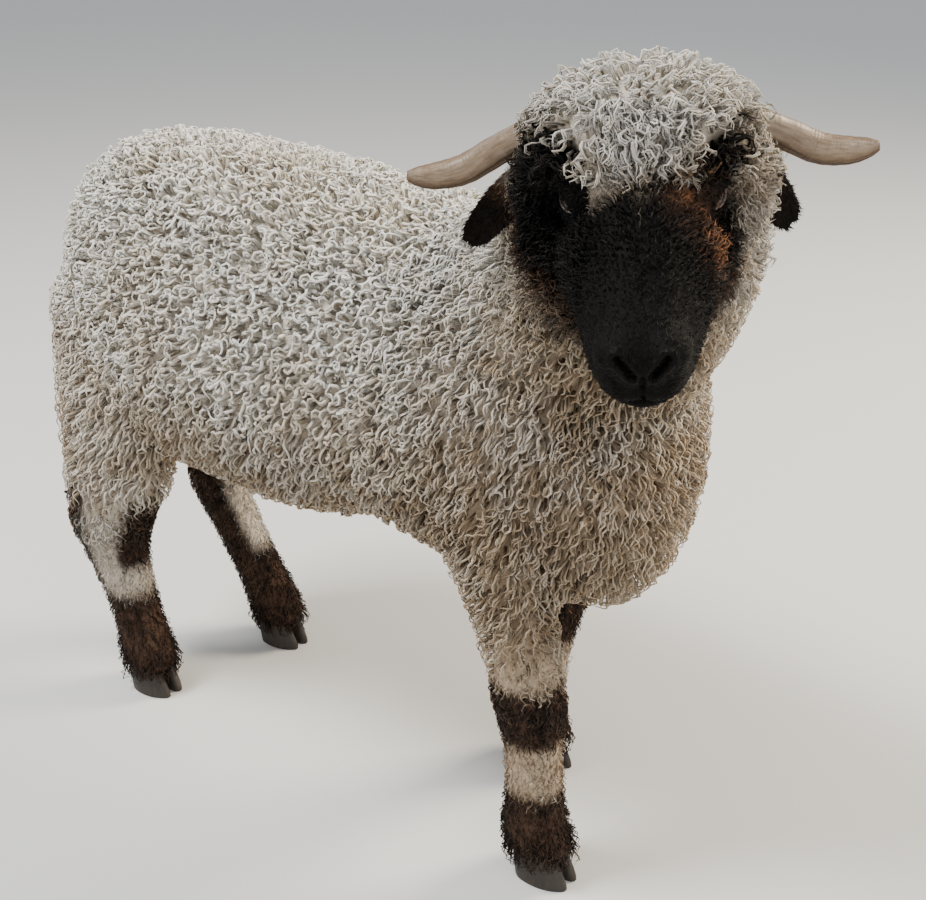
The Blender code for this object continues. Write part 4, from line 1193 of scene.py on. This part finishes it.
for side, name in ((-1, "ear_right"), (1, "ear_left")):
    root = Vector((-0.056, side * 0.080, -0.008))
    tip = Vector((-0.032, -0.138, -0.069)) if side < 0 else Vector((-0.062, 0.114, -0.078))
    along = (tip - root).normalized()
    front = Vector((0.9, side * 0.35, 0.15))
    front = (front - along * front.dot(along)).normalized()
    across_ear = along.cross(front)
    bm = bmesh.new()
    rows, columns = 34, 19
    shells = []
    for face in (-1, 1):
        sheet = []
        for i in range(rows):
            t = i / (rows - 1)
            half = EAR_HALF * (0.30 + 0.70 * math.sin(math.pi * min(1.0, 0.08 + t * 0.80)) ** 0.8)
            half *= 1.0 if t < 0.85 else 1.0 - 0.45 * ((t - 0.85) / 0.15) ** 2
            centre = root + along * t * EAR_LONG
            at_tip = 1.0 if t < 0.94 else math.sqrt(max(0.0, (1 - t) / 0.06))
            row = []
            for j in range(columns):
                s = 2 * j / (columns - 1) - 1
                cup = 0.38 * half * (1 - s * s) * (1.6 - t)
                wave = 0.0012 * math.sin(t * 9 + s * 2) * (0.3 + t)
                wall = 0.0017 * math.sqrt(max(0.0, 1 - abs(s) ** 6)) * at_tip
                rib = 0.0006 * math.exp(-((s / 0.25) ** 2)) * (1 - t)
                depth = cup + wave + face * wall - rib
                row.append(bm.verts.new(centre + across_ear * s * half - front * depth))
            sheet.append(row)
        shells.append(sheet)
    for sheet in shells:
        for near, far in zip(sheet, sheet[1:]):
            for j in range(columns - 1):
                bm.faces.new((near[j], near[j + 1], far[j + 1], far[j]))
    back, fore = shells
    for i in range(rows - 1):
        for j in (0, columns - 1):
            bm.faces.new((back[i][j], back[i + 1][j], fore[i + 1][j], fore[i][j]))
    for i in (0, rows - 1):
        for j in range(columns - 1):
            bm.faces.new((back[i][j], back[i][j + 1], fore[i][j + 1], fore[i][j]))
    bmesh.ops.remove_doubles(bm, verts=bm.verts[:], dist=0.00005)
    bmesh.ops.transform(bm, matrix=HEAD, verts=bm.verts[:])
    ear = new_piece(name + "_skin", bm)
    unwrap(ear)
    points, normals = mesh_points(ear.data)
    t = (in_head(points) - np.array(root)) @ np.array(along) / EAR_LONG
    paint_points(ear, "marks", "FLOAT_VECTOR", ear_marks(t))
    ear.data.materials.append(skin.data.materials[0])
    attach(ear, "root")
    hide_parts(name)
    points, normals, seats = roots_on(ear, 0.0026, everywhere, 71 + side)
    count = len(points)
    place = in_head(points)
    t = (place - np.array(root)) @ np.array(along) / EAR_LONG
    s = (place - np.array(root)) @ np.array(across_ear) / EAR_HALF
    lie = np.array(along) + np.array(across_ear) * s[:, None] * 0.5
    lie = lie + chance.normal(0, 0.18, (count, 3))
    lie = lie @ HEAD_AXES.T
    lie -= normals * (lie * normals).sum(1)[:, None]
    lie /= np.linalg.norm(lie, axis=1)[:, None]
    long = chance.uniform(0.006, 0.011, count) * (1 - 0.35 * t)
    paths = flat_hair(points, normals, lie, long, chance.uniform(0.1, 0.45, count), chance)
    radius = np.array([0.5, 0.42])[None] * 0.001 * chance.uniform(0.7, 1.1, count)[:, None]
    marks = np.clip(ear_marks(t + chance.normal(0, 0.06, count)), 0, 1)
    strands(name + "_hair", paths, radius, seats, marks, chance, hair)


# Horns: short flattened sheaths of horn over a core of bone, grown out sideways from the crown.
# They have a keel, a furrow and growth rings, and are brown with a paler upper ridge, partly
# painted light, and painted shade underneath and along the furrow.
look = Look("horn")
upward, sideways, along = look.parts("growth")
bands_at = look.node("ShaderNodeCombineXYZ", {0: along, 1: 0.0, 2: 0.0}).outputs[0]
bands = look.noise(60.0, 3.0, bands_at)
grain_at = look.node("ShaderNodeCombineXYZ", {
    0: look.maths("MULTIPLY", upward, 3.6), 1: look.maths("MULTIPLY", sideways, 3.6),
    2: look.maths("MULTIPLY", along, 7.0),
}).outputs[0]
streak = look.noise(1.6, 4.0, grain_at)
root, middle, tip = (0.135, 0.092, 0.060, 1), (0.105, 0.060, 0.028, 1), (0.085, 0.044, 0.021, 1)
colour = look.mix(look.spread(along, 0.25, 0.60), root, middle)
colour = look.mix(look.spread(along, 0.66, 0.96), colour, tip)
# Paler on top: partly the horn's own colour, partly painted light from above
colour = look.mix(look.spread(upward, 0.35, 0.95, 0.0, 0.50), colour, (0.26, 0.205, 0.145, 1))
# Painted shade: dark underneath, more so away from the root
shaded_underside = look.spread(upward, -0.9, 0.1, 0.75, 0.0)
below = look.maths("MULTIPLY", shaded_underside, look.spread(along, 0.08, 0.45, 0.35, 1.0))
colour = look.mix(below, colour, (0.105, 0.046, 0.019, 1))
cloud = look.spread(look.noise(34.0, 3.0), 0.48, 0.68, 0.0, 0.6)
colour = look.mix(cloud, colour, (0.12, 0.070, 0.040, 1))
# Painted shade: dark along the furrow
furrow = look.spread(look.attribute("groove"), 0.03, 0.12, 0.75, 0.0)
colour = look.mix(furrow, colour, (0.045, 0.028, 0.018, 1))
darker = look.mix(1.0, colour, (0.42, 0.35, 0.28, 1), "MULTIPLY")
colour = look.mix(look.spread(streak, 0.35, 0.70, 0.0, 0.65), colour, darker)
colour = look.mix(look.spread(bands, 0.5, 0.75, 0.0, 0.50), colour, (0.11, 0.070, 0.038, 1))
fine = look.bump(streak, 0.0006, 0.5)
horn_material = look.settle(
    Base_Color=colour, Roughness=look.spread(streak, 0.3, 0.8, 0.36, 0.58),
    Normal=look.bump(bands, 0.0012, 0.6, fine), Specular_IOR_Level=0.3,
)
for side, name in ((-1, "horn_right"), (1, "horn_left")):
    rise, apart = (0.006, 0.95) if side > 0 else (0.0, -1.0)
    keys = (
        (-0.050, apart * 0.040, 0.030, 0.0125, 0.0130),
        (-0.056, apart * 0.075, 0.020 + rise * 0.4, 0.0125, 0.0125),
        (-0.058, apart * 0.106, 0.004 + rise, 0.0105, 0.0122),
        (-0.054, apart * 0.136, -0.012 + rise * 1.5, 0.0085, 0.0124),
        (-0.049, apart * 0.158, -0.014 + rise * 1.9, 0.0065, 0.0112),
        (-0.045, apart * 0.172, -0.011 + rise * 2.2, 0.0048, 0.0082),
        (-0.043, apart * 0.180, -0.008 + rise * 2.3, 0.0024, 0.0040),
    )
    rows = smooth_rows(keys, 22)
    centres = [Vector(row[:3]) for row in rows]
    rings, growth, groove = [], [], []
    for i, row in enumerate(rows):
        t = i / (len(rows) - 1)
        ahead = (centres[min(i + 1, len(rows) - 1)] - centres[max(i - 1, 0)]).normalized()
        wide = Vector((0.5, 0, 0.85))
        wide = (wide - ahead * wide.dot(ahead)).normalized()
        deep = ahead.cross(wide)
        ridge = 1 - 0.030 * (0.5 + 0.5 * math.cos(t * 88 + math.sin(t * 23))) * (1 - 0.6 * t)
        ring = []
        for k in range(40):
            a = math.tau * k / 40
            off_keel = math.remainder(a - 0.6, math.tau)
            off_furrow = math.remainder(a - side * 1.15, math.tau)
            keel = 1 + 0.10 * math.exp(-((off_keel / 0.22) ** 2)) * (1 - t)
            furrow = 1 - 0.14 * math.exp(-((off_furrow / 0.22) ** 2))
            spin = a + side * 0.5 * t
            out = wide * row[3] * math.cos(spin) + deep * row[4] * math.sin(spin)
            ring.append(centres[i] + out * ridge * keel * furrow)
            growth.append((math.cos(spin), math.sin(spin), t))
            groove.append(abs(off_furrow) / math.pi)
        rings.append(ring)
    growth += [(0, 0, 0), (0, 0, 1)]
    groove += [1, 1]
    bm = bmesh.new()
    tube_of(bm, rings)
    bmesh.ops.transform(bm, matrix=HEAD, verts=bm.verts[:])
    horn = new_piece(name + "_fine", bm)
    unwrap(horn)
    paint_points(horn, "growth", "FLOAT_VECTOR", np.array(growth))
    paint_points(horn, "groove", "FLOAT", groove)
    horn.data.materials.append(horn_material)
    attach(horn, "root")
    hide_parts(name)


# Eyes: moist balls set in the sockets, with an amber brown iris and a pupil that lies level,
# under a clear wet front that bulges a little. Thin moist rims of skin edge the lids.
for side, name in ((-1, "eye_right"), (1, "eye_left")):
    bm = bmesh.new()
    bmesh.ops.create_uvsphere(bm, u_segments=48, v_segments=32, radius=EYE_RADIUS)
    gaze, forward, upward = eye_axes(side)
    turn = Matrix((forward, upward, gaze)).transposed().to_4x4()
    if turn.determinant() < 0:
        turn = Matrix((-forward, upward, gaze)).transposed().to_4x4()
    socket = HEAD @ Matrix.Translation(eye_seat[side])
    shape = []
    for vert in bm.verts:
        bulge = math.exp(-((vert.co.xy.length / 0.0066) ** 2)) if vert.co.z > 0 else 0.0
        shape.append([value / EYE_RADIUS for value in vert.co])
        vert.co *= 1 + 0.055 * bulge
    bmesh.ops.transform(bm, matrix=socket @ turn, verts=bm.verts[:])
    eye = new_piece(name + "_ball", bm)
    unwrap(eye)
    paint_points(eye, "gaze", "FLOAT_VECTOR", np.array(shape))
    look = Look(name)
    level, tall, ahead = look.parts("gaze")
    level_2, tall_2 = look.maths("MULTIPLY", level, level), look.maths("MULTIPLY", tall, tall)
    off = look.maths("SQRT", look.maths("ADD", level_2, tall_2))
    wide = look.maths("POWER", look.maths("DIVIDE", look.maths("ABSOLUTE", level), 0.38), 3.0)
    deep = look.maths("POWER", look.maths("DIVIDE", look.maths("ABSOLUTE", tall), 0.14), 3.0)
    slit = look.maths("ADD", wide, deep)
    rays = look.noise(14.0, 3.0, look.attribute("gaze", "Vector"))
    iris = look.mix(look.spread(rays, 0.3, 0.7), (0.050, 0.024, 0.009, 1), (0.125, 0.062, 0.021, 1))
    iris = look.mix(look.spread(off, 0.66, 0.80), iris, (0.012, 0.007, 0.005, 1))
    white = look.mix(look.spread(off, 0.86, 0.97), iris, (0.045, 0.030, 0.024, 1))
    colour = look.mix(look.spread(slit, 0.85, 1.1), (0.002, 0.002, 0.003, 1), white)
    look.finish(
        eye, Base_Color=colour, Roughness=0.30, Specular_IOR_Level=0.15, Coat_Weight=0.22,
        Coat_Roughness=0.04,
    )
    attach(eye, "root")
    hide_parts(name)

    # Lid rims round the opening
    bm = bmesh.new()
    rim_rings = []
    for k in range(48):
        a = math.tau * k / 48
        across_lid = math.cos(a) * LIDS_WIDE
        tall_lid = math.sin(a) * (LIDS_UP if math.sin(a) > 0 else LIDS_DOWN)
        aim = gaze + forward * math.tan(across_lid) * 0.98 + upward * math.tan(tall_lid)
        rim_rings.append(Vector(aim / np.linalg.norm(aim)) * (EYE_RADIUS + 0.0010))
    rounds = []
    for k, point in enumerate(rim_rings):
        run = (rim_rings[(k + 1) % 48] - rim_rings[k - 1]).normalized()
        out = point.normalized()
        deep = run.cross(out)
        thick_rim = 0.0014 if 2 < k < 22 else 0.0011
        around = [math.tau * j / 8 for j in range(8)]
        rounds.append([
            bm.verts.new(point + out * thick_rim * math.cos(b) + deep * thick_rim * math.sin(b))
            for b in around
        ])
    for near, far in zip(rounds, rounds[1:] + rounds[:1]):
        for j in range(8):
            bm.faces.new((near[j], near[(j + 1) % 8], far[(j + 1) % 8], far[j]))
    bmesh.ops.transform(bm, matrix=socket, verts=bm.verts[:])
    rim_piece = new_piece(name + "_lids", bm)
    unwrap(rim_piece)
    look = Look(name + " lid rims")
    grain = look.noise(600.0, 3.0)
    # Painted light: the left eye's rims pale as if lit, the right eye's dark as if in shade
    tone = (0.19, 0.125, 0.100, 1) if side > 0 else (0.024, 0.018, 0.016, 1)
    colour = look.mix(look.spread(grain, 0.3, 0.7), tone, (0.020, 0.014, 0.012, 1))
    look.finish(
        rim_piece, Base_Color=colour, Roughness=look.spread(grain, 0.3, 0.7, 0.28, 0.45),
        Normal=look.bump(grain, 0.0003, 0.5), Specular_IOR_Level=0.5,
    )
    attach(rim_piece, "root")


# Hooves: two claws of dark horn on each foot, grown down from its skin side by side. They are
# striped lengthways and ringed across, and worn flat where they stand.
HOOF_LONG, HOOF_WIDE, HOOF_TALL = 0.056, 0.023, 0.0337
look = Look("hoof horn")
in_place = look.node("ShaderNodeTexCoord").outputs["Object"]
stripes = look.node("ShaderNodeMapping", {"Vector": in_place, "Scale": (260, 260, 40)})
grain = look.noise(1.0, 4.0, stripes.outputs[0])
hoops = look.node("ShaderNodeMapping", {"Vector": in_place, "Scale": (12, 12, 320)})
rings_down = look.noise(1.0, 2.0, hoops.outputs[0])
colour = look.mix(look.spread(grain, 0.3, 0.7), (0.012, 0.009, 0.007, 1), (0.032, 0.024, 0.017, 1))
cloud = look.spread(look.noise(45.0, 3.0), 0.5, 0.7, 0.0, 0.6)
colour = look.mix(cloud, colour, (0.046, 0.035, 0.025, 1))
hoof_material = look.settle(
    Base_Color=colour, Roughness=look.spread(grain, 0.2, 0.8, 0.42, 0.72),
    Normal=look.bump(rings_down, 0.0010, 0.5, look.bump(grain, 0.0005, 0.5)),
    Specular_IOR_Level=0.4,
)
outline = (
    (-0.42, 0.34), (-0.40, -0.30), (-0.10, -0.50), (0.30, -0.36), (0.58, 0.10), (0.50, 0.42),
    (0.10, 0.50),
)
looped = [(*point, 0) for point in (*outline[-2:], *outline, *outline[:2])]
sole = [row[:2] for row in smooth_rows(looped, 5)[10:45]]
for leg, keys in leg_rings.items():
    outer_side = -1 if leg.endswith("right") else 1
    for place_name, side in (("outer", outer_side), ("inner", -outer_side)):
        foot = keys[-1]
        rings = []
        for level, shrink, shift in (
            (0.0, 0.90, 0.0), (0.0, 0.965, 0.0), (0.035, 0.99, 0.0), (0.16, 0.995, -0.015),
            (0.35, 0.97, -0.045), (0.55, 0.925, -0.080), (0.75, 0.88, -0.115),
            (0.90, 0.85, -0.140), (0.985, 0.80, -0.155),
        ):
            rings.append([
                BODY_PLACE + Vector((
                    foot[0] + 0.004 + (px * shrink + shift) * HOOF_LONG,
                    foot[1] + side * (0.0135 - py * shrink * HOOF_WIDE), level * HOOF_TALL,
                ))
                for px, py in sole
            ])
        bm = bmesh.new()
        tube_of(bm, rings)
        hoof = new_piece(f"hoof_{leg}_{place_name}", bm)
        unwrap(hoof)
        hoof.data.materials.append(hoof_material)
        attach(hoof, "root")
        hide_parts(f"claw_{leg}_{place_name}")


# Floor, light and camera: a pale studio floor under soft light from above and behind, seen from
# where the photographer stood, a little above the animal's back.
floor_mesh = bpy.data.meshes.new("floor")
floor_mesh.from_pydata([(-40, -40, 0), (40, -40, 0), (40, 40, 0), (-40, 40, 0)], [], [(0, 1, 2, 3)])
floor = bpy.data.objects.new("floor", floor_mesh)
bpy.context.scene.collection.objects.link(floor)
look = Look("pale floor")
look.finish(floor, Base_Color=(0.50, 0.50, 0.49, 1), Roughness=0.9, Specular_IOR_Level=0.2)
world = bpy.data.worlds.new("studio")
world.use_nodes = True
world.node_tree.nodes["Background"].inputs["Color"].default_value = (0.93, 0.96, 1.0, 1)
world.node_tree.nodes["Background"].inputs["Strength"].default_value = 0.90
bpy.context.scene.world = world
for name, place, size, power, tint in (
    ("key", (-1.2, -1.4, 3.4), 1.2, 240, (1.0, 0.98, 0.95)),
    ("fill", (2.8, -1.2, 1.6), 2.4, 50, (1.0, 0.97, 0.94)),
    ("rim", (1.5, 2.4, 2.6), 1.2, 235, (1.0, 0.86, 0.66)),
):
    light = bpy.data.lights.new(name, "AREA")
    light.size, light.energy, light.color = size, power, tint
    lamp = bpy.data.objects.new(name, light)
    lamp.location = place
    lamp.rotation_euler = (Vector((0, 0, 0.45)) - Vector(place)).to_track_quat("-Z", "Y").to_euler()
    bpy.context.scene.collection.objects.link(lamp)
lens = bpy.data.cameras.new("camera")
lens.lens, lens.sensor_width, lens.sensor_fit = 50.54, 36.0, "HORIZONTAL"
lens.clip_start = 0.05
camera = bpy.data.objects.new("camera", lens)
eye_at = BODY_PLACE + Vector((0.895, -0.966, 0.949))
ahead = Vector((-0.5566, 0.7253, -0.4051))
right, upper = Vector((0.793, 0.609, 0)), Vector((-0.2467, 0.3212, 0.9142))
facing = Matrix((right, upper, -ahead)).transposed().to_4x4()
camera.matrix_world = Matrix.Translation(eye_at) @ facing
bpy.context.scene.collection.objects.link(camera)
bpy.context.scene.camera = camera
